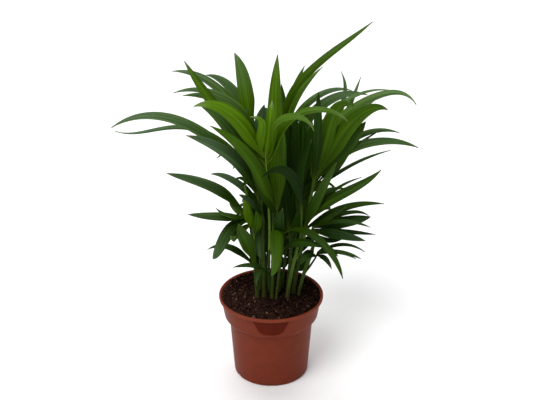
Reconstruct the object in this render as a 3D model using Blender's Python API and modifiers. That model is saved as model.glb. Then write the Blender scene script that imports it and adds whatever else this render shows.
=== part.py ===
"""A young areca palm in its round nursery pot: the pot, the compost, every stem and every frond.

Lengths in the tables are millimetres; the solids are made in metres. The pot stands on the plane
z = 0 with its axis on the origin, and the plant is looked at from the side of -Y.
"""

import math

import bmesh
import bpy
import numpy as np
from mathutils.bvhtree import BVHTree

MM = 0.001
SEAM = 0.00002

# Pot
RIM_RADIUS = 60.0
POT_HEIGHT = 99.5
LIP_HEIGHT = 4.0
LIP_WIDTH = 1.5
COLLAR_TOP_RADIUS = 57.4
COLLAR_BOTTOM_RADIUS = 54.0
COLLAR_BOTTOM_HEIGHT = 73.6
BODY_TOP_RADIUS = 48.1
BODY_TOP_HEIGHT = 69.0
BASE_RADIUS = 43.1
BASE_CHAMFER = 1.2
WALL = 1.6
FLOOR = 1.6
POT_STEPS = 48
DRAIN_SLOTS = 6
DRAIN_FIRST_DEG = -150.0
DRAIN_WIDTH = 5.0
DRAIN_HEIGHT = 2.4

# Compost
SOIL_TOP = 97.0
SOIL_EDGE_TOP = 98.2
SOIL_LEVEL_RADIUS = 46.0
GAP = 0.3

# Where the outline was read from, and the share of a leaflet's length that it is thick
EYE = np.array([1.6, -1037.7, 702.3])
LEAF_THICKNESS_SHARE = 0.0115
LEAF_THINNEST = 1.0
LEAF_BASE_WIDTH_SHARE = 0.30
LEAF_WIDEST_AT = 0.38
LEAF_TIP_POWER = 3.7
LEAF_TIP_FALL = 0.85
LEAF_TIP_WIDTH = 0.9
LEAF_LEAN_BACK = 0.35
LEAF_RING_SPACING = 36.0
LEAF_FINE_STEPS = 8
PETIOLE_RADIUS = 1.35
RIB_END_RADIUS = 0.95
RIB_STEPS = 7
PETIOLE_RISE = 9.0
PETIOLE_RISE_SHARE = 0.4
PETIOLE_ASIDE = 1.5
FOOT_SPARE = 0.15
LEAD_RISE = 12.0
LEAD_RISE_SHARE = 0.3
LOWEST_FORK = 4.0
HIGHEST_FORK = -2.0
CLEARANCE = 0.35

# Stems: name, foot (x, y), top (across, height, depth), radius at the foot and at the top
STEMS = (
    ("01", (-16, -6), (-21, 171, 0), 2.4, 1.7),
    ("02", (-8, -4), (-10, 178, 3), 2.5, 1.7),
    ("03", (-3, 7), (-2, 158, 3), 1.9, 1.5),
    ("04", (1, -7), (2, 164, -2), 2.2, 1.6),
    ("05", (6, -10), (11, 142, -1), 1.4, 1.3),
    ("06", (9, 8), (10, 160, 8), 2.2, 1.6),
    ("07", (13, 16), (18, 163, 25), 1.8, 1.5),
    ("08", (19, -6), (30, 159, -6), 2.2, 1.7),
    ("09", (26, 3), (36, 164, 4), 2.2, 1.7),
    ("10", (32, -1), (46, 154, -3), 1.4, 2.8),
    ("11", (-12, 12), (-11, 183, 14), 2.0, 1.6),
    ("12", (19, 10), (24, 171, 16), 1.9, 1.5),
    ("13", (3, 21), (2, 178, 36), 2.1, 1.6),
    ("14", (-6, 24), (-9, 181, 38), 2.1, 1.6),
    ("15", (26, 19), (29, 173, 34), 2.0, 1.6),
)

# Fronds read one by one from the front: name, stem, height of the fork on the stem, start and end
# of the rib (across, height, depth), then its leaflets: place along the rib (0 to 1), width,
# facing (0 lies level, 1 turned to the front), depth of the tip, bow of the middle in depth, and
# the way of the midline (across, height) down to the tip.
FRONDS = (
    ("front_left_bright", "03", 168, (-5, 254, -24), (-6, 276, -27), (
        (0.9, 17.5, 0.8, -55, -8, ((-20, 290), (-37, 314), (-56, 327), (-82, 327))),
        (0.98, 11, 0.6, -50, -4, ((-10, 299), (-13, 313), (-22, 315))),
        (0.95, 12, 0.95, -40, -2, ((-2, 300), (1, 333))),
        (0.8, 9.5, 0.6, -75, -10, ((1, 298), (14, 315), (31, 315), (46, 299))),
        (0.5, 9.5, 0.6, -62, -8, ((8, 293), (27, 318), (52, 324), (82, 310))),
        (0.3, 13.5, 0.85, -30, 0, ((-45, 308), (-74, 350), (-90, 377))),
        (0.1, 18, 0.8, -34, 0, ((-40, 297), (-60, 319), (-73, 326))),
    )),
    ("front_mid", "06", 155, (8, 188, -8), (6, 210, -11), (
        (1, 19, 0.95, 0, 0, ((5, 260), (4, 325), (7, 384))),
        (0.8, 14.5, 0.8, -44, 0, ((-10, 245), (-27, 274), (-45, 292), (-65, 305))),
        (0.9, 12.5, 0.6, -14, -2, ((11, 266), (11, 314))),
        (0.5, 13.5, 0.85, -26, 0, ((-10, 235), (-24, 277))),
    )),
    ("left_high", "02", 162, (-12, 210, -4), (-16, 229, -8), (
        (1, 12.5, 0.7, -20, 0, ((-62, 289), (-123, 317), (-171, 303))),
        (0.8, 6.5, 0.6, 10, 0, ((-78, 301), (-113, 303), (-146, 297), (-167, 299))),
        (0.6, 14.5, 0.85, -38, 0, ((-45, 272), (-70, 287), (-91, 294))),
    )),
    ("left_behind", "11", 187, (-10, 254, 8), (-20, 310, 14), (
        (1, 18, 0.6, 30, 0, ((-26, 340), (-30, 364), (-38, 386))),
        (0.7, 13.5, 0.8, 48, 0, ((-36, 339), (-54, 358), (-68, 362))),
        (0.85, 10, 0.8, 20, 0, ((-41, 332), (-83, 364), (-103, 366))),
        (0.5, 8.5, 0.8, 0, 0, ((-45, 335), (-83, 346), (-103, 342))),
        (0.4, 11, 0.8, -12, 0, ((-55, 334), (-79, 340), (-93, 339))),
        (0.2, 13.5, 0.6, 10, 0, ((-20, 292), (-25, 325))),
        (0.25, 15.5, 0.9, 6, 0, ((-13, 298), (-7, 329))),
    )),
    ("left_bright", "01", 140, (-19, 168, -6), (-20, 186, -8), (
        (1, 4.5, 0.6, -18, 0, ((-24, 209), (-29, 235))),
        (0.8, 11, 0.6, 8, 0, ((-26, 204), (-29, 222))),
        (0.4, 10, 0.6, 8, 0, ((-15, 191), (-16, 208))),
    )),
    ("left_low", "01", 168, (-19, 189, -16), (-31, 200, -18), (
        (1, 12.5, 0.75, 30, 0, ((-56, 229), (-81, 241), (-114, 250))),
        (0.8, 11, 0.6, -38, 0, ((-59, 198), (-92, 200))),
        (0.7, 5.5, 0.6, -36, 0, ((-50, 200), (-61, 208))),
        (0.35, 14.5, 0.9, -66, -4, ((-36, 190), (-52, 171), (-66, 144))),
        (0.1, 10, 0.8, -70, -10, ((-29, 184), (-42, 166))),
        (0.85, 10, 0.8, 4, 0, ((-38, 208), (-46, 217))),
    )),
    ("left_mid", "02", 174, (-8, 191, 0), (-10, 203, -2), (
        (1, 8.5, 0.7, 35, 0, ((-36, 238), (-54, 248), (-66, 249))),
        (0.6, 9.5, 0.6, -30, 0, ((-20, 214), (-35, 224))),
        (0, 10, 0.8, -6, 0, ((-16, 165), (-11, 143))),
    )),
    ("left_yellow", "01", 116, (-18, 130, -4), (-19, 140, -6), (
        (1, 17, 0.85, -14, 0, ((-23, 157), (-30, 171), (-36, 188))),
        (0.5, 8, 0.6, 20, 0, ((-44, 158), (-72, 156))),
    )),
    ("low_left", "04", 109, (-2, 120, -14), (-4, 126, -16), (
        (1, 6.5, 0.6, -30, 0, ((-22, 136), (-43, 133))),
        (0.3, 5.5, 0.6, -38, -2, ((-13, 126), (-16, 118), (-17, 109))),
    )),
    ("front_low", "05", 130, (13, 153, -6), (13, 177, -12), (
        (1, 9, 0.6, -72, -4, ((36, 181), (62, 160), (82, 118))),
        (0.9, 14.5, 0.6, -70, -10, ((7, 181), (6, 160), (0, 122))),
        (0.8, 12.5, 0.6, -38, -6, ((10, 196), (13, 207))),
        (0.2, 10, 0.8, -40, -4, ((31, 165), (61, 158))),
    )),
    ("arch_mid", "08", 155, (34, 193, -24), (34, 210, -27), (
        (1, 12.5, 0.85, -72, 0, ((29, 236), (10, 254), (-10, 245))),
        (0.5, 10, 0.6, -20, 0, ((32, 254), (44, 289))),
    )),
    ("tall_right", "07", 168, (14, 260, 20), (13, 289, 22), (
        (1, 9.5, 0.75, 45, 0, ((29, 353), (66, 389), (104, 419))),
        (0.8, 7.5, 0.6, 30, 0, ((32, 345), (43, 360), (54, 371))),
        (0.9, 9, 0.6, 50, 0, ((24, 345), (35, 372))),
        (0.5, 11, 0.6, 60, 0, ((14, 306), (11, 352))),
    )),
    ("dark_mid", "12", 168, (28, 220, 12), (27, 242, 12), (
        (1, 12.5, 0.6, 20, 0, ((22, 277), (17, 321))),
        (0.9, 12.5, 0.6, 14, 0, ((27, 277), (26, 319))),
        (0.8, 12.5, 0.6, 20, 0, ((33, 277), (34, 316))),
        (0.6, 12.5, 0.6, 14, 0, ((38, 271), (44, 310))),
        (0.3, 11, 0.6, 16, 0, ((19, 251), (15, 277))),
    )),
    ("dark_low", "12", 140, (21, 171, 12), (20, 186, 12), (
        (1, 14.5, 0.6, 22, 0, ((16, 220), (12, 256))),
        (0.9, 13.5, 0.6, 24, 0, ((23, 213), (25, 251))),
        (0.6, 12.5, 0.8, 20, 0, ((10, 198), (-2, 227))),
        (0.7, 11, 0.8, 22, 0, ((30, 193), (40, 218))),
    )),
    ("dark_left", "11", 140, (-6, 171, 12), (-6, 186, 12), (
        (1, 14.5, 0.6, 16, 0, ((-7, 212), (-10, 244))),
        (0.8, 12.5, 0.8, 22, 0, ((-15, 203), (-23, 221))),
        (0.9, 12.5, 0.6, 18, 0, ((-1, 205), (2, 237))),
    )),
    ("right_high", "15", 174, (24, 230, 28), (21, 277, 28), (
        (1, 9, 0.7, 75, 0, ((37, 329), (62, 345), (85, 345))),
        (0.9, 12.5, 0.7, 50, 0, ((46, 322), (71, 339), (102, 340))),
    )),
    ("right_far", "15", 174, (44, 224, 16), (49, 260, 16), (
        (0.8, 8, 0.6, 80, 0, ((71, 317), (78, 348), (73, 366))),
        (0.7, 7.5, 0.6, 70, 0, ((78, 314), (94, 360))),
        (0.6, 10.5, 0.8, 15, 0, ((77, 317), (107, 337), (132, 343), (154, 329))),
        (0.5, 5.5, 0.6, 35, 0, ((81, 335), (106, 345), (127, 345))),
        (0.3, 12.5, 0.7, 40, 0, ((79, 311), (114, 337))),
    )),
    ("right_bright", "09", 168, (45, 224, -6), (49, 251, -8), (
        (1, 20, 0.92, -18, 0, ((66, 278), (80, 301), (98, 320), (112, 326), (124, 323))),
        (0.9, 20, 0.9, -6, 0, ((76, 276), (89, 293), (101, 310))),
        (0.95, 19.5, 0.95, -8, -4, ((56, 280), (64, 312), (73, 328), (88, 328))),
        (0.8, 11, 0.6, -38, 0, ((50, 295), (50, 343))),
        (0.6, 8, 0.8, 15, 0, ((85, 288), (114, 300), (138, 297))),
        (0.4, 11, 0.75, -5, 0, ((86, 279), (123, 288), (159, 280))),
        (0.3, 4.5, 0.6, 10, 0, ((83, 275), (117, 300))),
        (0.15, 5.5, 0.8, 30, 0, ((69, 251), (85, 274))),
        (0.1, 4.5, 0.6, 45, 0, ((86, 259), (129, 277))),
    )),
    ("right_mid", "08", 153, (35, 172, -14), (38, 186, -16), (
        (0.85, 12, 0.85, -25, 0, ((46, 207), (56, 231), (71, 262))),
        (0.8, 12, 0.85, -22, 0, ((73, 222), (102, 239), (120, 254))),
        (0.9, 4.5, 0.6, 20, 0, ((74, 233), (99, 245))),
        (0.6, 9, 0.6, 30, 0, ((79, 208), (125, 213))),
        (0.95, 8, 0.6, 15, 0, ((59, 227), (81, 232))),
    )),
    ("right_low", "10", 155, (45, 178, -4), (47, 186, -5), (
        (1, 14, 0.8, 25, 0, ((82, 191), (111, 197))),
        (0.9, 5.5, 0.6, 40, 0, ((68, 197), (88, 203), (109, 198))),
        (0.8, 5.5, 0.6, -25, 0, ((82, 192), (111, 184))),
        (0.5, 6.5, 0.6, 30, 0, ((83, 179), (117, 175))),
        (0.3, 11, 0.8, -28, 0, ((80, 174), (106, 167))),
        (0.2, 6.5, 0.6, 0, 0, ((64, 168), (85, 173))),
        (1, 10, 0.7, -10, 0, ((63, 198), (83, 209))),
    )),
    ("right_lowest", "10", 136, (51, 146, -8), (53, 153, -9), (
        (1, 4.5, 0.6, 20, 0, ((75, 162), (106, 153))),
        (0.8, 5.5, 0.6, -25, 0, ((78, 153), (102, 144))),
        (0.6, 4.5, 0.6, -5, 0, ((72, 153), (96, 144))),
        (0.4, 6.5, 0.6, -32, 0, ((57, 148), (69, 131))),
        (0.2, 11, 0.8, -20, -2, ((42, 150), (34, 137))),
        (0.9, 9, 0.8, 10, 0, ((59, 155), (76, 147))),
    )),
    ("dark_deep", "15", 103, (23, 140, 24), (22, 163, 24), (
        (1, 13.5, 0.85, 22, 0, ((21, 178), (19, 198))),
        (0.85, 13.5, 0.8, 20, 0, ((16, 171), (15, 191))),
        (0.7, 13.5, 0.8, 18, 0, ((30, 168), (35, 188))),
        (0.3, 10, 0.8, 26, 0, ((17, 153), (15, 171))),
        (0.2, 10, 0.8, 22, 0, ((29, 153), (36, 168))),
    )),
    ("dark_back", "14", 105, (-5, 140, 28), (-4, 158, 28), (
        (1, 12.5, 0.85, 24, 0, ((-3, 173), (-3, 193))),
        (0.8, 11, 0.8, 26, 0, ((-15, 168), (-21, 191))),
    )),
)

# Fronds at the back and inside, grown by one rule: name, stem, heading (degrees, 90 is straight
# back), reach and height of the rib's start, length and rise (degrees) of the rib, pairs of
# leaflets, length and width of the longest leaflet, rise of the leaflets (degrees)
BACK_FRONDS = (
    ("inner_left", "04", 100, 4, 222, 28, 76, 3, 78, 12, 40),
    ("back_high_left", "14", 109, 12, 216, 40, 62, 3, 72, 15, 20),
    ("back_high_mid", "13", 88, 14, 218, 42, 56, 4, 90, 14, 18),
    ("back_high_right", "12", 67, 12, 216, 40, 62, 4, 88, 14, 24),
    ("back_mid_left", "14", 103, 20, 186, 36, 50, 3, 58, 13, 14),
    ("back_mid", "13", 91, 20, 186, 38, 44, 3, 92, 13, 4),
    ("back_mid_right", "15", 72, 18, 186, 36, 50, 3, 62, 13, 12),
    ("back_low_left", "14", 101, 18, 152, 26, 34, 3, 52, 10, 2),
    ("back_low_mid", "13", 86, 20, 150, 28, 30, 3, 76, 11, -6),
    ("back_low_right", "15", 70, 20, 154, 26, 34, 3, 64, 11, 2),
)
SPREAD_AT_START = 36.0
SPREAD_AT_END = 12.0
ARCH = 17.0
SEED = 11


def seen(across, height, depth):
    """The place at a depth behind the pot's axis that is seen at (across, height) on the axis plane."""
    on_plane = np.array([across, 0.0, height])
    return EYE + (on_plane - EYE) * (depth - EYE[1]) / -EYE[1]


def through(points, count):
    """Even steps along the smooth curve through a few points: the interpolating polynomial of their
    chord lengths."""
    points = np.asarray(points, float)
    knots = np.concatenate([[0.0], np.cumsum(np.linalg.norm(np.diff(points, axis=0), axis=1))])
    knots /= knots[-1]
    steps = np.linspace(0.0, 1.0, count)
    line = np.zeros((count, 3))
    for i, point in enumerate(points):
        weight = np.ones(count)
        for j, knot in enumerate(knots):
            if j != i:
                weight *= (steps - knot) / (knots[i] - knot)
        line += weight[:, None] * point
    return steps, line


def bent(points, count):
    """Even steps along easy bends through a few points, by their chord lengths."""
    points = np.asarray(points, float)
    chords = np.linalg.norm(np.diff(points, axis=0), axis=1)
    spans = chords / chords.sum()
    knots = np.concatenate([[0.0], np.cumsum(spans)])
    slopes = np.diff(points, axis=0) / spans[:, None]
    before = spans[:-1, None]
    after = spans[1:, None]
    inner = (slopes[:-1] * after + slopes[1:] * before) / (before + after)
    leans = np.vstack([slopes[:1], inner, slopes[-1:]])
    steps = np.linspace(0.0, 1.0, count)
    k = np.clip(np.searchsorted(knots, steps, side="right") - 1, 0, len(spans) - 1)
    u = ((steps - knots[k]) / spans[k])[:, None]
    width = spans[k][:, None]
    line = (1.0 + 2.0 * u) * (1.0 - u) ** 2 * points[k] + u * u * (3.0 - 2.0 * u) * points[k + 1]
    line += width * u * (1.0 - u) * ((1.0 - u) * leans[k] - u * leans[k + 1])
    return steps, line


def unit(v):
    return v / np.maximum(np.linalg.norm(v, axis=-1, keepdims=True), 1e-9)


def blade_frame(line, facing, front):
    """Directions along, across and out of a blade. In the middle its upper side is turned by the
    share facing from level towards the direction front; both ways from there it follows the bends
    without twist."""
    along = unit(np.gradient(line, axis=0))
    away = line[-1] - line[0]
    away[2] = 0.0
    level = unit(np.array([0.0, 0.0, 1.0]) - LEAF_LEAN_BACK * unit(away))
    middle = len(line) // 2
    out = np.empty_like(along)
    for rings in (range(middle, len(line)), range(middle, -1, -1)):
        carried = (1.0 - facing) * level + facing * front
        for i in rings:
            carried = unit(carried - (carried @ along[i]) * along[i])
            out[i] = carried
    return along, np.cross(along, out), out


def blade_width(steps, width):
    """Narrow pleated start, widest a little before the middle, long taper into the tip."""
    x = np.clip(steps / LEAF_WIDEST_AT, 0.0, 1.0)
    grow = LEAF_BASE_WIDTH_SHARE + (1.0 - LEAF_BASE_WIDTH_SHARE) * x * x * (3.0 - 2.0 * x)
    fall = (1.0 - steps ** LEAF_TIP_POWER) ** LEAF_TIP_FALL
    return np.maximum(width * grow * fall, LEAF_TIP_WIDTH)


def blade_solid(way, width, facing, front, spare=0.0):
    """Corners and faces of one leaflet: a ridge over a flat underside, closed at both ends."""
    length = np.linalg.norm(np.diff(way, axis=0), axis=1).sum()
    steps, line = through(way, 1 + LEAF_FINE_STEPS * (3 + int(length / LEAF_RING_SPACING)))
    along, across, out = blade_frame(line, facing, front)
    rings = slice(None, None, LEAF_FINE_STEPS)
    steps, line, across, out = steps[rings], line[rings], across[rings], out[rings]
    half = blade_width(steps, width)[:, None] / 2.0 + spare
    thick = max(LEAF_THINNEST, LEAF_THICKNESS_SHARE * length) * (1.0 - 0.3 * steps[:, None] ** 3)
    under = line - out * (0.35 * thick + spare)
    ridge = line + out * (0.65 * thick + spare)
    corners = np.stack([under - across * half, under + across * half, ridge], 1)
    return corners.reshape(-1, 3), tube_faces(len(line), 3)


def tube_faces(rings, sides):
    faces = [tuple(range(sides))]
    for r in range(rings - 1):
        for s in range(sides):
            a = r * sides + s
            b = r * sides + (s + 1) % sides
            faces.append((b, a, a + sides, b + sides))
    last = (rings - 1) * sides
    faces.append(tuple(last + s for s in reversed(range(sides))))
    return faces


def tube_solid(line, radii, sides=6):
    """Corners and faces of a round stalk round a line, for keeping the leaflets clear of it."""
    along = unit(np.gradient(line, axis=0))
    first = unit(np.cross(along, [0.0, 1.0, 0.02]))
    second = np.cross(along, first)
    angles = np.arange(sides) * 2.0 * math.pi / sides
    turn = np.stack([np.cos(angles), np.sin(angles)])[:, None, :, None]
    ring = turn[0] * first[:, None] + turn[1] * second[:, None]
    corners = line[:, None] + ring * (np.asarray(radii)[:, None, None] / math.cos(math.pi / sides))
    return corners.reshape(-1, 3), tube_faces(len(line), sides)


class Room:
    """What stands already, so that each new stalk or leaflet can be kept clear of it."""

    def __init__(self):
        self.held = []

    def add(self, owner, corners, faces):
        tree = BVHTree.FromPolygons([tuple(c) for c in corners], faces)
        self.held.append((owner, corners.min(0), corners.max(0), tree))

    def clear(self, owner, corners, faces):
        low = corners.min(0)
        high = corners.max(0)
        tree = None
        for other, other_low, other_high, other_tree in self.held:
            if other == owner or (other_low > high).any() or (other_high < low).any():
                continue
            tree = tree or BVHTree.FromPolygons([tuple(c) for c in corners], faces)
            if tree.overlap(other_tree):
                return False
        return True


def stem_line(row):
    """The midline and radii of a stem: upright out of the compost, then leaning to its top."""
    name, foot, top, foot_radius, top_radius = row
    start = np.array([foot[0], foot[1], SOIL_TOP + GAP])
    end = seen(*top)
    rise = end[2] - start[2]
    heights = np.array([0.0, 0.05, 0.12, 0.35, 0.68, 1.0])
    lean = np.clip((heights - 0.05) / 0.95, 0.0, 1.0) ** 1.25
    line = start + np.stack([lean * (end[0] - start[0]), lean * (end[1] - start[1]), heights * rise], 1)
    flare = 1.0 + 0.28 * np.exp(-heights * rise / 5.0)
    radii = (foot_radius + (top_radius - foot_radius) * heights) * flare
    return line, radii


def rib_line(stems, leads, stem, fork, start, end, turn):
    """Midline of a petiole and rib. The highest frond of a stem stands in line above it; the others
    leave its side at the height of the fork and rise along it at first."""
    line, radii = stems[stem]
    if leads:
        along = unit(line[-1] - line[-2])
        foot = line[-1] + along * GAP
        lift = min(LEAD_RISE, LEAD_RISE_SHARE * np.linalg.norm(start - foot))
        path = [foot, foot + along * lift, start, end]
    else:
        height = min(max(fork, line[0][2] + LOWEST_FORK), line[-1][2] + HIGHEST_FORK)
        axis = np.array([np.interp(height, line[:, 2], line[:, k]) for k in (0, 1, 2)])
        stalk = np.interp(height, line[:, 2], radii)
        away = start - axis
        heading = math.atan2(away[1], away[0]) + turn
        lean = unit(np.array([np.interp(height + 1.0, line[:, 2], line[:, k]) for k in (0, 1, 2)]) - axis)
        side = np.array([math.cos(heading), math.sin(heading), 0.0])
        side = unit(side - (side @ lean) * lean)
        foot = axis + side * (stalk + GAP + PETIOLE_RADIUS + FOOT_SPARE)
        share = min(1.0, PETIOLE_RISE_SHARE * np.linalg.norm(start - foot) / PETIOLE_RISE)
        path = [foot, foot + share * (side * PETIOLE_ASIDE + lean * PETIOLE_RISE), start, end]
    return path


def rib_radii(count):
    return np.linspace(PETIOLE_RADIUS, RIB_END_RADIUS, count)


def on_rib(path, steps, line, place):
    """The point of the rib's midline at a place from its start (0) to just before its end (1)."""
    chords = np.linalg.norm(np.diff(path, axis=0), axis=1)
    start = 1.0 - chords[-1] / chords.sum()
    at = start + (0.96 - start) * place
    return np.array([np.interp(at, steps, line[:, k]) for k in (0, 1, 2)])


def back_frond(row, stems, rng):
    """A frond grown by rule: leaflets in pairs, opening wide at the start of the rib and closing
    towards its end, each arching over to its tip."""
    name, stem, heading, reach, height, length, rise, pairs, leaf_length, leaf_width, leaf_rise = row
    top = stems[stem][0][-1]
    bearing = math.radians(heading)
    outward = np.array([math.cos(bearing), math.sin(bearing), 0.0])
    up = np.array([0.0, 0.0, 1.0])
    start = np.array([top[0], top[1], height]) + outward * reach
    tilt = math.radians(rise)
    end = start + length * (math.cos(tilt) * outward + math.sin(tilt) * up)
    leaves = []
    for pair in range(pairs):
        place = (pair + 0.6) / pairs
        for side in (-1.0, 1.0):
            spread = SPREAD_AT_START + (SPREAD_AT_END - SPREAD_AT_START) * place + rng.uniform(-7.0, 7.0)
            turn = bearing + side * math.radians(spread)
            way = np.array([math.cos(turn), math.sin(turn), 0.0])
            long = leaf_length * (0.72 + 0.28 * math.sin(math.pi * min(1.0, 0.25 + 0.6 * place)))
            long *= rng.uniform(0.9, 1.05)
            climb = math.radians(leaf_rise - ARCH + 16.0 * place + rng.uniform(-6.0, 6.0))
            bend = climb + 2.0 * math.radians(ARCH)
            base = start + (end - start) * min(1.0, place + 0.06 * side)
            middle = base + 0.52 * long * (math.cos(bend) * way + math.sin(bend) * up)
            tip = base + 0.93 * long * (math.cos(climb) * way + math.sin(climb) * up)
            leaves.append((min(1.0, place + 0.06 * side), leaf_width * rng.uniform(0.85, 1.05),
                           0.35, np.array([middle, tip])))
    return name, stem, height - 60.0, start, end, leaves, unit(outward + 0.4 * up)


def front_frond(row):
    """A frond of the front table, its leaflets' ways set in space behind the places they are seen at."""
    name, stem, fork, start, end, leaves = row
    start = seen(*start)
    end = seen(*end)
    grown = []
    for place, width, facing, tip_depth, bow, way in leaves:
        base = start + (end - start) * place
        flat = [base[[0, 2]]] + [np.array(p, float) for p in way]
        reach = np.concatenate([[0.0], np.cumsum([np.linalg.norm(b - a) for a, b in zip(flat, flat[1:])])])
        share = reach[1:] / reach[-1]
        depths = base[1] + (tip_depth - base[1]) * share + bow * 4.0 * share * (1.0 - share)
        grown.append((place, width, facing, np.array([seen(p[0], p[1], d) for p, d in zip(way, depths)])))
    return name, stem, fork, start, end, grown, np.array([0.0, -0.91, 0.41])


def slid(points, shares, tip_slide, bow_slide):
    """Way points slid along the lines of sight, so that the outline from the front stays."""
    moved = []
    for point, share in zip(points, shares):
        slide = tip_slide * share + bow_slide * 4.0 * share * (1.0 - share)
        sight = point - EYE
        moved.append(point + sight * (slide / sight[1]))
    return moved


def slides():
    """Pairs of slides of the tip and of the middle, the smallest first."""
    steps = [0, 4, -4, 8, -8, 13, -13, 19, -19, 26, -26, 34, -34, 44, -44, 56, -56]
    pairs = [(a, b) for a in steps for b in steps if abs(b) <= 34]
    return sorted(pairs, key=lambda p: (abs(p[0]) + 1.4 * abs(p[1]), p))


def grow():
    """Lines of all stems and ribs and ways of all leaflets, every one clear of the other fronds."""
    rng = np.random.default_rng(SEED)
    stems = {row[0]: stem_line(row) for row in STEMS}
    fronds = [front_frond(row) for row in FRONDS] + [back_frond(row, stems, rng) for row in BACK_FRONDS]
    room = Room()
    for name, (line, radii) in stems.items():
        room.add(name, *tube_solid(line, radii))
    highest = {}
    for frond in fronds:
        if frond[1] not in highest or frond[3][2] > highest[frond[1]][3][2]:
            highest[frond[1]] = frond
    grown = []
    missed = []
    for name, stem, fork, start, end, leaves, front in fronds:
        leads = highest[stem][0] == name
        found = None
        for turn in np.radians([0, 35, -35, 70, -70, 105, -105, 140, -140, 180]):
            for slide in (0, 3, -3, 6, -6, 10, -10, 15, -15, 21, -21):
                path = rib_line(stems, leads, stem, fork, *slid([start, end], [1.0, 1.0], slide, 0), turn)
                steps, line = bent(path, RIB_STEPS)
                if room.clear("", *stalk_room(line, leads)):
                    found = (path, steps, line)
                    break
            if found:
                break
        if not found:
            missed.append(name)
            continue
        path, steps, line = found
        room.add(name, *tube_solid(line, rib_radii(RIB_STEPS)))
        grown.append((name, path, steps, line, leaves, front, []))
    tries = slides()
    for frond in grown:
        name, path, steps, line, leaves, front, kept = frond
        for number, (place, width, facing, way) in enumerate(leaves):
            base = on_rib(path, steps, line, place)
            points = np.vstack([base, way])
            reach = np.concatenate([[0.0], np.cumsum(np.linalg.norm(np.diff(points, axis=0), axis=1))])
            shares = reach[1:] / reach[-1]
            for scale in (1.0, 0.75, 0.5):
                for tip_slide, bow_slide in tries:
                    moved = np.vstack([base, slid(way, shares, tip_slide, bow_slide)])
                    solid = blade_solid(moved, width * scale, facing, front, CLEARANCE)
                    if room.clear(name, *solid):
                        break
                else:
                    continue
                room.add(name, *blade_solid(moved, width * scale, facing, front))
                kept.append((moved, width * scale, facing, number))
                break
            else:
                missed.append(f"{name} {number}")
    return stems, grown, missed


def stalk_room(line, leads):
    """The stalk with its clearance. A leading frond stands just above its own stem, so its lowest
    end keeps no clearance."""
    line = line.copy()
    if leads:
        line[0] += unit(line[1] - line[0]) * CLEARANCE
    return tube_solid(line, rib_radii(len(line)) + CLEARANCE)


def clear_scene():
    for item in list(bpy.data.objects):
        bpy.data.objects.remove(item, do_unlink=True)


def collection(name, hidden=False):
    made = bpy.data.collections.new(name)
    bpy.context.scene.collection.children.link(made)
    made.hide_render = hidden
    return made


def material(name, colour, roughness):
    made = bpy.data.materials.new(name)
    made.use_nodes = True
    shader = made.node_tree.nodes["Principled BSDF"]
    shader.inputs["Base Color"].default_value = (*colour, 1.0)
    shader.inputs["Roughness"].default_value = roughness
    return made


def mesh_object(name, corners, faces, target):
    mesh = bpy.data.meshes.new(name)
    mesh.from_pydata([tuple(c) for c in np.asarray(corners) * MM], [], faces)
    mesh.update()
    made = bpy.data.objects.new(name, mesh)
    target.objects.link(made)
    return made


def evaluated(item, target, weld=0.0):
    """A plain mesh object in place of an object with modifiers or a curve; open seams can be welded."""
    bpy.context.view_layer.update()
    graph = bpy.context.evaluated_depsgraph_get()
    mesh = bpy.data.meshes.new_from_object(item.evaluated_get(graph))
    name = item.name
    place = item.matrix_world.copy()
    bpy.data.objects.remove(item, do_unlink=True)
    work = bmesh.new()
    work.from_mesh(mesh)
    if weld:
        bmesh.ops.remove_doubles(work, verts=work.verts, dist=weld)
    bmesh.ops.recalc_face_normals(work, faces=work.faces)
    work.to_mesh(mesh)
    work.free()
    mesh.name = name
    made = bpy.data.objects.new(name, mesh)
    made.matrix_world = place
    target.objects.link(made)
    return made


def turned(name, profile, steps, target):
    """A closed profile of (radius, height) turned round the pot's axis."""
    mesh = bpy.data.meshes.new(name)
    corners = [(r * MM, 0.0, z * MM) for r, z in profile]
    mesh.from_pydata(corners, [(i, (i + 1) % len(corners)) for i in range(len(corners))], [])
    made = bpy.data.objects.new(name, mesh)
    target.objects.link(made)
    screw = made.modifiers.new("turn", "SCREW")
    screw.axis = "Z"
    screw.steps = steps
    screw.render_steps = steps
    screw.use_merge_vertices = True
    screw.merge_threshold = 0.00005
    screw.use_normal_calculate = True
    return evaluated(made, target, SEAM)


def stalk(name, line, radii, target):
    """A tapering stalk: a curve with a round bevel and filled ends."""
    curve = bpy.data.curves.new(name, "CURVE")
    curve.dimensions = "3D"
    curve.bevel_depth = MM
    curve.bevel_resolution = 1
    curve.resolution_u = 1
    curve.render_resolution_u = 0
    curve.use_fill_caps = True
    spline = curve.splines.new("POLY")
    spline.points.add(len(line) - 1)
    for point, place, radius in zip(spline.points, line, radii):
        point.co = (*(np.asarray(place) * MM), 1.0)
        point.radius = radius
    made = bpy.data.objects.new(name, curve)
    target.objects.link(made)
    return evaluated(made, target, SEAM)


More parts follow.
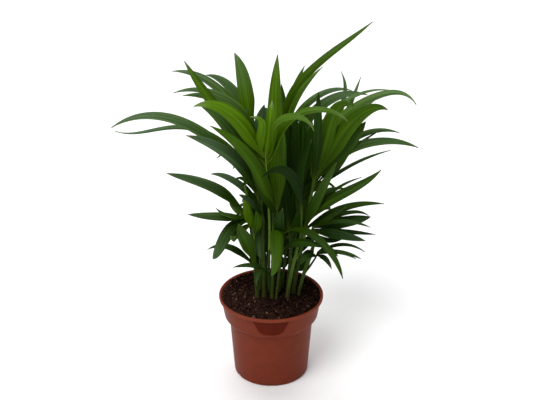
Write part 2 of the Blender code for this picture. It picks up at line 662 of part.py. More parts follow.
def build_pot(target, cutters, look):
    """The pot: lip, leaning collar, shoulder, tapering body and floor, with drainage slots."""
    lip = POT_HEIGHT - LIP_HEIGHT
    profile = (
        (RIM_RADIUS - LIP_WIDTH, POT_HEIGHT), (RIM_RADIUS - 0.5, POT_HEIGHT),
        (RIM_RADIUS, POT_HEIGHT - 0.6), (RIM_RADIUS, lip + 0.4), (RIM_RADIUS - 0.4, lip),
        (COLLAR_TOP_RADIUS, lip - 0.6), (COLLAR_BOTTOM_RADIUS, COLLAR_BOTTOM_HEIGHT + 0.8),
        (COLLAR_BOTTOM_RADIUS - 0.9, COLLAR_BOTTOM_HEIGHT),
        (BODY_TOP_RADIUS + 0.6, BODY_TOP_HEIGHT + 0.8), (BODY_TOP_RADIUS, BODY_TOP_HEIGHT - 0.6),
        (BASE_RADIUS + 0.15, BASE_CHAMFER), (BASE_RADIUS - BASE_CHAMFER, 0.0), (0.0, 0.0),
        (0.0, FLOOR), (BASE_RADIUS - WALL, FLOOR), (BODY_TOP_RADIUS - WALL, BODY_TOP_HEIGHT + 1.0),
        (COLLAR_BOTTOM_RADIUS - WALL, COLLAR_BOTTOM_HEIGHT + 1.8), (COLLAR_TOP_RADIUS - WALL, lip),
    )
    pot = turned("pot", profile, POT_STEPS, target)
    for k in range(DRAIN_SLOTS):
        angle = math.radians(DRAIN_FIRST_DEG + 360.0 * k / DRAIN_SLOTS)
        bpy.ops.mesh.primitive_cube_add(size=1.0)
        cutter = bpy.context.object
        cutter.name = f"drain_cutter_{k + 1}"
        cutter.scale = (9.0 * MM, DRAIN_WIDTH * MM, 2.0 * DRAIN_HEIGHT * MM)
        out = (BASE_RADIUS + 0.5) * MM
        cutter.location = (math.cos(angle) * out, math.sin(angle) * out, 0.0)
        cutter.rotation_euler = (0.0, 0.0, angle)
        cutter.display_type = "WIRE"
        cutter.hide_render = True
        for home in list(cutter.users_collection):
            home.objects.unlink(cutter)
        cutters.objects.link(cutter)
        cut = pot.modifiers.new(f"drain_{k + 1}", "BOOLEAN")
        cut.operation = "DIFFERENCE"
        cut.solver = "EXACT"
        cut.object = cutter
    pot = evaluated(pot, target)
    pot.data.materials.append(look)


def build_soil(target, look):
    """The compost, filling the pot to below its rim and a little higher along its edge."""
    lip = POT_HEIGHT - LIP_HEIGHT
    edge = COLLAR_TOP_RADIUS - WALL - GAP - 0.05
    profile = (
        (0.0, SOIL_TOP), (SOIL_LEVEL_RADIUS, SOIL_TOP), (edge + 1.8, SOIL_EDGE_TOP), (edge, lip),
        (COLLAR_BOTTOM_RADIUS - WALL - GAP - 0.1, COLLAR_BOTTOM_HEIGHT + 2.3),
        (BODY_TOP_RADIUS - WALL - GAP - 0.3, BODY_TOP_HEIGHT + 1.3),
        (BASE_RADIUS - WALL - GAP - 0.2, FLOOR + 4.0), (BASE_RADIUS - 9.0, FLOOR + 3.4), (0.0, FLOOR + 3.4),
    )
    soil = turned("compost", profile, POT_STEPS, target)
    soil.data.materials.append(look)


def joined(name, rib, leaves, target):
    """One solid of a rib and its leaflets: a union of the rib with the collection of leaflets."""
    group = collection(name + "_leaflets")
    for leaf in leaves:
        target.objects.unlink(leaf)
        group.objects.link(leaf)
    union = rib.modifiers.new("union", "BOOLEAN")
    union.operation = "UNION"
    union.solver = "MANIFOLD"
    union.operand_type = "COLLECTION"
    union.collection = group
    made = evaluated(rib, target)
    for leaf in leaves:
        bpy.data.objects.remove(leaf, do_unlink=True)
    bpy.data.collections.remove(group)
    return made


def main():
    clear_scene()
    plant = collection("potted_areca_palm")
    cutters = collection("cutters", hidden=True)
    pot_look = material("pot_plastic", (0.28, 0.06, 0.035), 0.42)
    soil_look = material("compost", (0.045, 0.024, 0.016), 0.95)
    stem_look = material("stem", (0.16, 0.26, 0.05), 0.5)
    leaf_look = material("leaf", (0.05, 0.17, 0.02), 0.45)
    build_pot(plant, cutters, pot_look)
    build_soil(plant, soil_look)
    stems, fronds, missed = grow()
    for name, (line, radii) in stems.items():
        made = stalk("stem_" + name, line, radii, plant)
        made.data.materials.append(stem_look)
    for name, path, steps, line, leaves, front, kept in fronds:
        rib = stalk("frond_" + name, line, rib_radii(len(line)), plant)
        blades = []
        for way, width, facing, number in kept:
            corners, faces = blade_solid(way, width, facing, front)
            blades.append(mesh_object(f"leaflet_{number}", corners, faces, plant))
        made = joined("frond_" + name, rib, blades, plant)
        made.data.materials.clear()
        made.data.materials.append(leaf_look)
    print("not grown, no clear place:", missed)


if __name__ == "__main__":
    main()
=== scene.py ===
"""The finished look of a young areca palm in its plastic pot.

The plant grows here by the same rule as its solids: stems rise from the compost, each frond has a
petiole and rib, and each leaflet's way is set behind the places it is seen at. Every solid blade is
replaced by a thin folded leaflet with veins, every stalk by one with sheaths and rings. Lengths in
the growth rule are millimetres, the add-on's settings are in Blender's own units.
"""

import functools
import math

import bpy
import numpy as np
from bpy.props import FloatProperty, FloatVectorProperty, IntProperty, PointerProperty
from bpy.types import Operator, Panel, PropertyGroup
from mathutils.bvhtree import BVHTree
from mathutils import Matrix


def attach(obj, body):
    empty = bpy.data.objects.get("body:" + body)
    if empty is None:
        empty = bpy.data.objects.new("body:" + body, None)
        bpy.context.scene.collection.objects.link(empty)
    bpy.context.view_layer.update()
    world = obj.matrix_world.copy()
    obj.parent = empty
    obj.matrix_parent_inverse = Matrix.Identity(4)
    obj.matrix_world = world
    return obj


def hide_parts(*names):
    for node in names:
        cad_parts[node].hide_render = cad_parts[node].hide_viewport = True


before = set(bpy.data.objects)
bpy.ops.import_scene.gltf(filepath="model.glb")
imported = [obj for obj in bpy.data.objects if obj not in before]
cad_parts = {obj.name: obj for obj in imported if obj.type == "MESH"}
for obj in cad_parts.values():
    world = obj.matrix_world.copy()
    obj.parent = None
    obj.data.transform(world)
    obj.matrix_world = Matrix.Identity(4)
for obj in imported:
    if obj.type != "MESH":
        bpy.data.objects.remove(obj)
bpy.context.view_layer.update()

bl_info = {
    "name": "Potted areca palm",
    "version": (1, 0, 0),
    "blender": (4, 5, 0),
    "location": "3D View > Sidebar > Palm",
    "description": "Builds the finished look of a potted areca palm and its stage",
    "category": "Object",
}

MM = 0.001
PIECE_TRIANGLES = 180000

# The growth rule's sizes, in millimetres
SOIL_TOP = 97.0
SOIL_EDGE_RISE = 1.2
SOIL_LEVEL_RADIUS = 46.0
FLOOR = 1.6
GAP = 0.3
EYE = np.array([1.6, -1037.7, 702.3])
LEAF_THICKNESS_SHARE = 0.0115
LEAF_THINNEST = 1.0
LEAF_BASE_WIDTH_SHARE = 0.30
LEAF_WIDEST_AT = 0.38
LEAF_TIP_POWER = 3.7
LEAF_TIP_FALL = 0.85
LEAF_TIP_WIDTH = 0.9
LEAF_LEAN_BACK = 0.35
LEAF_RING_SPACING = 36.0
LEAF_FINE_STEPS = 8
PETIOLE_RADIUS = 1.35
RIB_END_RADIUS = 0.95
RIB_STEPS = 7
PETIOLE_RISE = 9.0
PETIOLE_RISE_SHARE = 0.4
PETIOLE_ASIDE = 1.5
FOOT_SPARE = 0.15
LEAD_RISE = 12.0
LEAD_RISE_SHARE = 0.3
LOWEST_FORK = 4.0
HIGHEST_FORK = -2.0
CLEARANCE = 0.35
FRONT_FACING = np.array([0.0, -0.91, 0.41])

# Stems: name, foot (x, y), top (across, height, depth), radius at the foot and at the top
STEMS = (
    ("01", (-16, -6), (-21, 171, 0), 2.4, 1.7),
    ("02", (-8, -4), (-10, 178, 3), 2.5, 1.7),
    ("03", (-3, 7), (-2, 158, 3), 1.9, 1.5),
    ("04", (1, -7), (2, 164, -2), 2.2, 1.6),
    ("05", (6, -10), (11, 142, -1), 1.4, 1.3),
    ("06", (9, 8), (10, 160, 8), 2.2, 1.6),
    ("07", (13, 16), (18, 163, 25), 1.8, 1.5),
    ("08", (19, -6), (30, 159, -6), 2.2, 1.7),
    ("09", (26, 3), (36, 164, 4), 2.2, 1.7),
    ("10", (32, -1), (46, 154, -3), 1.4, 2.8),
    ("11", (-12, 12), (-11, 183, 14), 2.0, 1.6),
    ("12", (19, 10), (24, 171, 16), 1.9, 1.5),
    ("13", (3, 21), (2, 178, 36), 2.1, 1.6),
    ("14", (-6, 24), (-9, 181, 38), 2.1, 1.6),
    ("15", (26, 19), (29, 173, 34), 2.0, 1.6),
)

# Fronds seen in front: name, stem, height of the fork, start and end of the rib (across, height,
# depth), and leaflets: place on the rib, width, tone, share turned to the front, depth of the tip,
# bow, way points (across, height). Tone 0 is the darkest green and 1 the yellowest. The tone is
# partly the leaflet's own green and partly painted light and shade: lit leaflets get bright tones
# and leaflets in the crown's shade get dark ones.
FRONDS = (
    ("front_left_bright", "03", 168, (-5, 254, -24), (-6, 276, -27), (
        (0.9, 17.5, 0.9, 0.8, -55, -8, ((-20, 290), (-37, 314), (-56, 327), (-82, 327))),
        (0.98, 11, 0.95, 0.6, -50, -4, ((-10, 299), (-13, 313), (-22, 315))),
        (0.95, 12, 1, 0.95, -40, -2, ((-2, 300), (1, 333))),
        (0.8, 9.5, 0.72, 0.6, -75, -10, ((1, 298), (14, 315), (31, 315), (46, 299))),
        (0.5, 9.5, 0.7, 0.6, -62, -8, ((8, 293), (27, 318), (52, 324), (82, 310))),
        (0.3, 13.5, 0.6, 0.85, -30, 0, ((-45, 308), (-74, 350), (-90, 377))),
        (0.1, 18, 0.35, 0.8, -34, 0, ((-40, 297), (-60, 319), (-73, 326))),
    )),
    ("front_mid", "06", 155, (8, 188, -8), (6, 210, -11), (
        (1, 19, 0.7, 0.95, 0, 0, ((5, 260), (4, 325), (7, 384))),
        (0.8, 14.5, 0.38, 0.8, -44, 0, ((-10, 245), (-27, 274), (-45, 292), (-65, 305))),
        (0.9, 12.5, 0.36, 0.6, -14, -2, ((11, 266), (11, 314))),
        (0.5, 13.5, 0.13, 0.85, -26, 0, ((-10, 235), (-24, 277))),
    )),
    ("left_high", "02", 162, (-12, 210, -4), (-16, 229, -8), (
        (1, 12.5, 0.42, 0.7, -20, 0, ((-62, 289), (-123, 317), (-171, 303))),
        (0.8, 6.5, 0.7, 0.6, 10, 0, ((-78, 301), (-113, 303), (-146, 297), (-167, 299))),
        (0.6, 14.5, 0.16, 0.85, -38, 0, ((-45, 272), (-70, 287), (-91, 294))),
    )),
    ("left_behind", "11", 187, (-10, 254, 8), (-20, 310, 14), (
        (1, 18, 0.82, 0.6, 30, 0, ((-26, 340), (-30, 364), (-38, 386))),
        (0.7, 13.5, 0.38, 0.8, 48, 0, ((-36, 339), (-54, 358), (-68, 362))),
        (0.85, 10, 0.6, 0.8, 20, 0, ((-41, 332), (-83, 364), (-103, 366))),
        (0.5, 8.5, 0.6, 0.8, 0, 0, ((-45, 335), (-83, 346), (-103, 342))),
        (0.4, 11, 0.45, 0.8, -12, 0, ((-55, 334), (-79, 340), (-93, 339))),
        (0.2, 13.5, 0.35, 0.6, 10, 0, ((-20, 292), (-25, 325))),
        (0.25, 15.5, 0.08, 0.9, 6, 0, ((-13, 298), (-7, 329))),
    )),
    ("left_bright", "01", 140, (-19, 168, -6), (-20, 186, -8), (
        (1, 4.5, 0.75, 0.6, -18, 0, ((-24, 209), (-29, 235))),
        (0.8, 11, 0.6, 0.6, 8, 0, ((-26, 204), (-29, 222))),
        (0.4, 10, 0.3, 0.6, 8, 0, ((-15, 191), (-16, 208))),
    )),
    ("left_low", "01", 168, (-19, 189, -16), (-31, 200, -18), (
        (1, 12.5, 0.08, 0.75, 30, 0, ((-56, 229), (-81, 241), (-114, 250))),
        (0.8, 11, 0.24, 0.6, -38, 0, ((-59, 198), (-92, 200))),
        (0.7, 5.5, 0.36, 0.6, -36, 0, ((-50, 200), (-61, 208))),
        (0.35, 14.5, 0.15, 0.9, -66, -4, ((-36, 190), (-52, 171), (-66, 144))),
        (0.1, 10, 0.6, 0.8, -70, -10, ((-29, 184), (-42, 166))),
        (0.85, 10, 0.4, 0.8, 4, 0, ((-38, 208), (-46, 217))),
    )),
    ("left_mid", "02", 174, (-8, 191, 0), (-10, 203, -2), (
        (1, 8.5, 0.1, 0.7, 35, 0, ((-36, 238), (-54, 248), (-66, 249))),
        (0.6, 9.5, 0.1, 0.6, -30, 0, ((-20, 214), (-35, 224))),
        (0, 10, 0.1, 0.8, -6, 0, ((-16, 165), (-11, 143))),
    )),
    ("left_yellow", "01", 116, (-18, 130, -4), (-19, 140, -6), (
        (1, 17, 0.38, 0.85, -14, 0, ((-23, 157), (-30, 171), (-36, 188))),
        (0.5, 8, 0.15, 0.6, 20, 0, ((-44, 158), (-72, 156))),
    )),
    ("low_left", "04", 109, (-2, 120, -14), (-4, 126, -16), (
        (1, 6.5, 0.15, 0.6, -30, 0, ((-22, 136), (-43, 133))),
        (0.3, 5.5, 0.1, 0.6, -38, -2, ((-13, 126), (-16, 118), (-17, 109))),
    )),
    ("front_low", "05", 130, (13, 153, -6), (13, 177, -12), (
        (1, 9, 0.2, 0.6, -72, -4, ((36, 181), (62, 160), (82, 118))),
        (0.9, 14.5, 0.42, 0.6, -70, -10, ((7, 181), (6, 160), (0, 122))),
        (0.8, 12.5, 0.1, 0.6, -38, -6, ((10, 196), (13, 207))),
        (0.2, 10, 0.14, 0.8, -40, -4, ((31, 165), (61, 158))),
    )),
    ("arch_mid", "08", 155, (34, 193, -24), (34, 210, -27), (
        (1, 12.5, 0.05, 0.85, -72, 0, ((29, 236), (10, 254), (-10, 245))),
        (0.5, 10, 0.05, 0.6, -20, 0, ((32, 254), (44, 289))),
    )),
    ("tall_right", "07", 168, (14, 260, 20), (13, 289, 22), (
        (1, 9.5, 0.5, 0.75, 45, 0, ((29, 353), (66, 389), (104, 419))),
        (0.8, 7.5, 0.6, 0.6, 30, 0, ((32, 345), (43, 360), (54, 371))),
        (0.9, 9, 0.5, 0.6, 50, 0, ((24, 345), (35, 372))),
        (0.5, 11, 0.1, 0.6, 60, 0, ((14, 306), (11, 352))),
    )),
    ("dark_mid", "12", 168, (28, 220, 12), (27, 242, 12), (
        (1, 12.5, 0.05, 0.6, 20, 0, ((22, 277), (17, 321))),
        (0.9, 12.5, 0.05, 0.6, 14, 0, ((27, 277), (26, 319))),
        (0.8, 12.5, 0.1, 0.6, 20, 0, ((33, 277), (34, 316))),
        (0.6, 12.5, 0.05, 0.6, 14, 0, ((38, 271), (44, 310))),
        (0.3, 11, 0, 0.6, 16, 0, ((19, 251), (15, 277))),
    )),
    ("dark_low", "12", 140, (21, 171, 12), (20, 186, 12), (
        (1, 14.5, 0.12, 0.6, 22, 0, ((16, 220), (12, 256))),
        (0.9, 13.5, 0.12, 0.6, 24, 0, ((23, 213), (25, 251))),
        (0.6, 12.5, 0.05, 0.8, 20, 0, ((10, 198), (-2, 227))),
        (0.7, 11, 0.1, 0.8, 22, 0, ((30, 193), (40, 218))),
    )),
    ("dark_left", "11", 140, (-6, 171, 12), (-6, 186, 12), (
        (1, 14.5, 0.05, 0.6, 16, 0, ((-7, 212), (-10, 244))),
        (0.8, 12.5, 0.1, 0.8, 22, 0, ((-15, 203), (-23, 221))),
        (0.9, 12.5, 0.05, 0.6, 18, 0, ((-1, 205), (2, 237))),
    )),
    ("right_high", "15", 174, (24, 230, 28), (21, 277, 28), (
        (1, 9, 0.85, 0.7, 75, 0, ((37, 329), (62, 345), (85, 345))),
        (0.9, 12.5, 0.38, 0.7, 50, 0, ((46, 322), (71, 339), (102, 340))),
    )),
    ("right_far", "15", 174, (44, 224, 16), (49, 260, 16), (
        (0.8, 8, 0.7, 0.6, 80, 0, ((71, 317), (78, 348), (73, 366))),
        (0.7, 7.5, 0.75, 0.6, 70, 0, ((78, 314), (94, 360))),
        (0.6, 10.5, 0.84, 0.8, 15, 0, ((77, 317), (107, 337), (132, 343), (154, 329))),
        (0.5, 5.5, 0.7, 0.6, 35, 0, ((81, 335), (106, 345), (127, 345))),
        (0.3, 12.5, 0.15, 0.7, 40, 0, ((79, 311), (114, 337))),
    )),
    ("right_bright", "09", 168, (45, 224, -6), (49, 251, -8), (
        (1, 20, 0.42, 0.92, -18, 0, ((66, 278), (80, 301), (98, 320), (112, 326), (124, 323))),
        (0.9, 20, 0.18, 0.9, -6, 0, ((76, 276), (89, 293), (101, 310))),
        (0.95, 19.5, 0.45, 0.95, -8, -4, ((56, 280), (64, 312), (73, 328), (88, 328))),
        (0.8, 11, 0.05, 0.6, -38, 0, ((50, 295), (50, 343))),
        (0.6, 8, 0.4, 0.8, 15, 0, ((85, 288), (114, 300), (138, 297))),
        (0.4, 11, 0.22, 0.75, -5, 0, ((86, 279), (123, 288), (159, 280))),
        (0.3, 4.5, 0.3, 0.6, 10, 0, ((83, 275), (117, 300))),
        (0.15, 5.5, 0.2, 0.8, 30, 0, ((69, 251), (85, 274))),
        (0.1, 4.5, 0.2, 0.6, 45, 0, ((86, 259), (129, 277))),
    )),
    ("right_mid", "08", 153, (35, 172, -14), (38, 186, -16), (
        (0.85, 12, 0.22, 0.85, -25, 0, ((46, 207), (56, 231), (71, 262))),
        (0.8, 12, 0.22, 0.85, -22, 0, ((73, 222), (102, 239), (120, 254))),
        (0.9, 4.5, 0.35, 0.6, 20, 0, ((74, 233), (99, 245))),
        (0.6, 9, 0.25, 0.6, 30, 0, ((79, 208), (125, 213))),
        (0.95, 8, 0.1, 0.6, 15, 0, ((59, 227), (81, 232))),
    )),
    ("right_low", "10", 155, (45, 178, -4), (47, 186, -5), (
        (1, 14, 0.04, 0.8, 25, 0, ((82, 191), (111, 197))),
        (0.9, 5.5, 0.2, 0.6, 40, 0, ((68, 197), (88, 203), (109, 198))),
        (0.8, 5.5, 0.1, 0.6, -25, 0, ((82, 192), (111, 184))),
        (0.5, 6.5, 0.08, 0.6, 30, 0, ((83, 179), (117, 175))),
        (0.3, 11, 0.07, 0.8, -28, 0, ((80, 174), (106, 167))),
        (0.2, 6.5, 0.1, 0.6, 0, 0, ((64, 168), (85, 173))),
        (1, 10, 0.2, 0.7, -10, 0, ((63, 198), (83, 209))),
    )),
    ("right_lowest", "10", 136, (51, 146, -8), (53, 153, -9), (
        (1, 4.5, 0.15, 0.6, 20, 0, ((75, 162), (106, 153))),
        (0.8, 5.5, 0.15, 0.6, -25, 0, ((78, 153), (102, 144))),
        (0.6, 4.5, 0.15, 0.6, -5, 0, ((72, 153), (96, 144))),
        (0.4, 6.5, 0.1, 0.6, -32, 0, ((57, 148), (69, 131))),
        (0.2, 11, 0.1, 0.8, -20, -2, ((42, 150), (34, 137))),
        (0.9, 9, 0.1, 0.8, 10, 0, ((59, 155), (76, 147))),
    )),
    ("dark_deep", "15", 103, (23, 140, 24), (22, 163, 24), (
        (1, 13.5, 0.05, 0.85, 22, 0, ((21, 178), (19, 198))),
        (0.85, 13.5, 0.05, 0.8, 20, 0, ((16, 171), (15, 191))),
        (0.7, 13.5, 0.1, 0.8, 18, 0, ((30, 168), (35, 188))),
        (0.3, 10, 0.05, 0.8, 26, 0, ((17, 153), (15, 171))),
        (0.2, 10, 0.1, 0.8, 22, 0, ((29, 153), (36, 168))),
    )),
    ("dark_back", "14", 105, (-5, 140, 28), (-4, 158, 28), (
        (1, 12.5, 0.05, 0.85, 24, 0, ((-3, 173), (-3, 193))),
        (0.8, 11, 0.1, 0.8, 26, 0, ((-15, 168), (-21, 191))),
    )),
)

# Small dark leaflets low inside, added last, their dark tone a painted shade of the crown's inside: frond, then as
# in the table above
INNER_LEAFLETS = (
    ("dark_back", (0.1, 12.5, 0.05, 0.9, 32, 0, ((-15, 140), (-19, 160)))),
    ("dark_back", (0.5, 12.5, 0.05, 0.9, 34, 0, ((6, 163), (10, 186)))),
    ("dark_deep", (0.1, 12.5, 0.05, 0.9, 30, 0, ((34, 135), (44, 153)))),
    ("dark_deep", (0.5, 12.5, 0.05, 0.9, 36, 0, ((12, 140), (6, 160)))),
    ("dark_deep", (0.6, 11, 0.05, 0.9, 30, 0, ((35, 160), (46, 178)))),
    ("dark_low", (0.2, 11, 0.05, 0.9, 26, 0, ((32, 183), (43, 205)))),
    ("dark_low", (0.1, 11, 0.05, 0.9, 26, 0, ((9, 173), (2, 196)))),
    ("dark_left", (0.1, 11, 0.05, 0.9, 22, 0, ((-16, 178), (-22, 198)))),
    ("dark_mid", (0.15, 10, 0.1, 0.8, 24, 0, ((41, 235), (53, 258)))),
)

# Fronds behind: name, stem, heading, reach, height, length, rise, pairs of leaflets, leaflet's
# length, width and rise
BACK_FRONDS = (
    ("inner_left", "04", 100, 4, 222, 28, 76, 3, 78, 12, 40),
    ("back_high_left", "14", 109, 12, 216, 40, 62, 3, 72, 15, 20),
    ("back_high_mid", "13", 88, 14, 218, 42, 56, 4, 90, 14, 18),
    ("back_high_right", "12", 67, 12, 216, 40, 62, 4, 88, 14, 24),
    ("back_mid_left", "14", 103, 20, 186, 36, 50, 3, 58, 13, 14),
    ("back_mid", "13", 91, 20, 186, 38, 44, 3, 92, 13, 4),
    ("back_mid_right", "15", 72, 18, 186, 36, 50, 3, 62, 13, 12),
    ("back_low_left", "14", 101, 18, 152, 26, 34, 3, 52, 10, 2),
    ("back_low_mid", "13", 86, 20, 150, 28, 30, 3, 76, 11, -6),
    ("back_low_right", "15", 70, 20, 154, 26, 34, 3, 64, 11, 2),
)
SEED = 11
ARCH = 17.0
SPREAD_AT_START = 36.0
SPREAD_AT_END = 12.0
BACK_TONE_LOW = 0.08
BACK_TONE_HIGH = 0.45

# Greens of the leaflets by tone, linear colour; the tones carry painted light and shade as well as the leaflets'
# own greens
TONES = (0.0, 0.25, 0.5, 0.75, 1.0)
GREENS = (
    (0.005, 0.021, 0.001), (0.024, 0.060, 0.001), (0.045, 0.102, 0.001),
    (0.068, 0.150, 0.0005), (0.094, 0.204, 0.0005),
)
LEAF_BASE_TINT = (0.10, 0.15, 0.015)
# Leaflets painted darker towards their base and lighter towards their tip: painted shade deep in the crown,
# painted light on the tips
LEAF_BASE_PAINTED_SHADE = 0.60
LEAF_TIP_PAINTED_LIGHT = 1.24
# Grey-green of a painted sheen towards the leaflets' tips, from the light above and behind
PAINTED_SHEEN_GREEN = (0.099, 0.164, 0.077)
LEAF_TIP_TINT = (0.22, 0.18, 0.07)
BRIGHT_TIP_TINT = (0.25, 0.34, 0.16)
STEM_FOOT_TINT = (0.075, 0.062, 0.020)
STEM_LOW_TINT = (0.035, 0.060, 0.009)
STEM_HIGH_TINT = (0.030, 0.059, 0.007)
# How much brighter some stems are painted towards their top, and all the others: painted light on the upper stems
# where the light falls on them
STEM_TOPS_PAINTED_LIGHT = {"01": 2.0, "03": 1.9, "04": 1.5, "08": 2.7, "10": 1.7}
STEM_TOP_PAINTED_LIGHT_USUAL = 1.1
# Petioles run from the dark to the bright tint with their leaflets' tone and carry its painted light and shade;
# some are painted brighter still, painted light on lit petioles
PETIOLE_DARK_TINT = (0.030, 0.054, 0.006)
PETIOLE_BRIGHT_TINT = (0.200, 0.320, 0.045)
PETIOLE_PAINTED_LIGHT = {"right_bright": 2.4, "arch_mid": 1.7, "right_mid": 1.5}
SOIL_TINTS = ((0.021, 0.009, 0.007), (0.039, 0.018, 0.012), (0.008, 0.003, 0.003), (0.088, 0.050, 0.033))
SOIL_SHARES = (0.42, 0.30, 0.16, 0.12)
# Way to the compost's lighter side: drier there and painted light; the other side is damp and painted shade
SOIL_DRY_LIT_SIDE = (-0.75, -0.66)


# How far the leaflets of a frond take a painted grey-green sheen towards their tips, standing for the light from
# above and behind, where it isn't the usual share
PAINTED_SHEEN_USUAL = 0.01
PAINTED_SHEEN_SHARES = {
    "left_high": 0.80, "left_behind": 0.50, "right_high": 0.75, "right_far": 0.70, "right_bright": 0.05,
    "left_low": 0.45, "left_mid": 0.40, "left_yellow": 0.15, "low_left": 0.20, "front_left_bright": 0.08,
    "front_mid": 0.06, "front_low": 0.08, "tall_right": 0.14, "right_mid": 0.12, "right_low": 0.16,
    "right_lowest": 0.10, "back_high_left": 0.10, "back_high_mid": 0.10, "back_high_right": 0.20,
}
# The same for single leaflets, by their frond and their number in it
PAINTED_SHEEN_LEAFLETS = {
    ("front_left_bright", 3): 0.22, ("front_left_bright", 4): 0.22, ("front_left_bright", 6): 0.30,
    ("left_high", 1): 1.00, ("left_behind", 1): 0.60, ("left_behind", 2): 0.90, ("left_behind", 3): 0.85,
    ("left_mid", 0): 0.70, ("tall_right", 1): 0.22, ("right_high", 0): 1.00, ("right_bright", 1): 0.10,
    ("right_bright", 4): 0.60, ("right_bright", 5): 0.38, ("right_bright", 6): 0.40,
    ("right_bright", 7): 0.30, ("right_bright", 8): 0.40,
}


# Growth rule

def seen(across, height, depth):
    """The place at a depth behind the pot's axis that is seen at (across, height) on the axis plane."""
    on_plane = np.array([across, 0.0, height])
    return EYE + (on_plane - EYE) * (depth - EYE[1]) / -EYE[1]


def through(points, count):
    """Even steps along the polynomial through a few points, by their chord lengths."""
    points = np.asarray(points, float)
    knots = np.concatenate([[0.0], np.cumsum(np.linalg.norm(np.diff(points, axis=0), axis=1))])
    knots /= knots[-1]
    steps = np.linspace(0.0, 1.0, count)
    line = np.zeros((count, 3))
    for i, point in enumerate(points):
        weight = np.ones(count)
        for j, knot in enumerate(knots):
            if j != i:
                weight *= (steps - knot) / (knots[i] - knot)
        line += weight[:, None] * point
    return steps, line


def bent(points, count):
    """Even steps along easy bends through a few points, by their chord lengths."""
    points = np.asarray(points, float)
    chords = np.linalg.norm(np.diff(points, axis=0), axis=1)
    spans = chords / chords.sum()
    knots = np.concatenate([[0.0], np.cumsum(spans)])
    slopes = np.diff(points, axis=0) / spans[:, None]
    before = spans[:-1, None]
    after = spans[1:, None]
    inner = (slopes[:-1] * after + slopes[1:] * before) / (before + after)
    leans = np.vstack([slopes[:1], inner, slopes[-1:]])
    steps = np.linspace(0.0, 1.0, count)
    k = np.clip(np.searchsorted(knots, steps, side="right") - 1, 0, len(spans) - 1)
    u = ((steps - knots[k]) / spans[k])[:, None]
    width = spans[k][:, None]
    line = (1.0 + 2.0 * u) * (1.0 - u) ** 2 * points[k] + u * u * (3.0 - 2.0 * u) * points[k + 1]
    line += width * u * (1.0 - u) * ((1.0 - u) * leans[k] - u * leans[k + 1])
    return steps, line


def unit(v):
    return v / np.maximum(np.linalg.norm(v, axis=-1, keepdims=True), 1e-9)


def blade_frame(line, facing, front):
    """Directions along, across and out of a blade. In the middle its upper side is turned by the
    share facing from level towards the direction front; both ways from there it follows the bends
    without twist."""
    along = unit(np.gradient(line, axis=0))
    away = line[-1] - line[0]
    away[2] = 0.0
    level = unit(np.array([0.0, 0.0, 1.0]) - LEAF_LEAN_BACK * unit(away))
    middle = len(line) // 2
    out = np.empty_like(along)
    for rings in (range(middle, len(line)), range(middle, -1, -1)):
        carried = (1.0 - facing) * level + facing * front
        for i in rings:
            carried = unit(carried - (carried @ along[i]) * along[i])
            out[i] = carried
    return along, np.cross(along, out), out


def blade_width(steps, width):
    """Narrow pleated start, widest a little before the middle, long taper into the tip."""
    x = np.clip(steps / LEAF_WIDEST_AT, 0.0, 1.0)
    grow = LEAF_BASE_WIDTH_SHARE + (1.0 - LEAF_BASE_WIDTH_SHARE) * x * x * (3.0 - 2.0 * x)
    fall = (1.0 - steps ** LEAF_TIP_POWER) ** LEAF_TIP_FALL
    return np.maximum(width * grow * fall, LEAF_TIP_WIDTH)


def blade_solid(way, width, facing, front, spare=0.0):
    """Corners and faces of the plain solid that one leaflet takes its room by."""
    length = np.linalg.norm(np.diff(way, axis=0), axis=1).sum()
    steps, line = through(way, 1 + LEAF_FINE_STEPS * (3 + int(length / LEAF_RING_SPACING)))
    along, across, out = blade_frame(line, facing, front)
    rings = slice(None, None, LEAF_FINE_STEPS)
    steps, line, across, out = steps[rings], line[rings], across[rings], out[rings]
    half = blade_width(steps, width)[:, None] / 2.0 + spare
    thick = max(LEAF_THINNEST, LEAF_THICKNESS_SHARE * length) * (1.0 - 0.3 * steps[:, None] ** 3)
    under = line - out * (0.35 * thick + spare)
    corners = np.stack([under - across * half, under + across * half, line + out * (0.65 * thick + spare)], 1)
    return corners.reshape(-1, 3), tube_faces(len(line), 3)


def tube_faces(rings, sides):
    """Faces of a closed tube: a cap, quads between the rings, and a cap."""
    faces = [tuple(range(sides))]
    for r in range(rings - 1):
        for s in range(sides):
            a = r * sides + s
            b = r * sides + (s + 1) % sides
            faces.append((b, a, a + sides, b + sides))
    last = (rings - 1) * sides
    faces.append(tuple(last + s for s in reversed(range(sides))))
    return faces


def tube_solid(line, radii, sides=6):
    """Corners and faces of a round stalk round a line, for keeping the leaflets clear of it."""
    along = unit(np.gradient(line, axis=0))
    first = unit(np.cross(along, [0.0, 1.0, 0.02]))
    second = np.cross(along, first)
    angles = np.arange(sides) * 2.0 * math.pi / sides
    ring = np.cos(angles)[None, :, None] * first[:, None] + np.sin(angles)[None, :, None] * second[:, None]
    corners = line[:, None] + ring * (np.asarray(radii)[:, None, None] / math.cos(math.pi / sides))
    return corners.reshape(-1, 3), tube_faces(len(line), sides)


class Room:
    """What stands already, so that each new stalk or leaflet can be kept clear of it."""

    def __init__(self):
        self.held = []

    def add(self, owner, corners, faces):
        tree = BVHTree.FromPolygons([tuple(c) for c in corners], faces)
        self.held.append((owner, corners.min(0), corners.max(0), tree))

    def clear(self, owner, corners, faces):
        low = corners.min(0)
        high = corners.max(0)
        tree = None
        for other, other_low, other_high, other_tree in self.held:
            if other == owner or (other_low > high).any() or (other_high < low).any():
                continue
            tree = tree or BVHTree.FromPolygons([tuple(c) for c in corners], faces)
            if tree.overlap(other_tree):
                return False
        return True


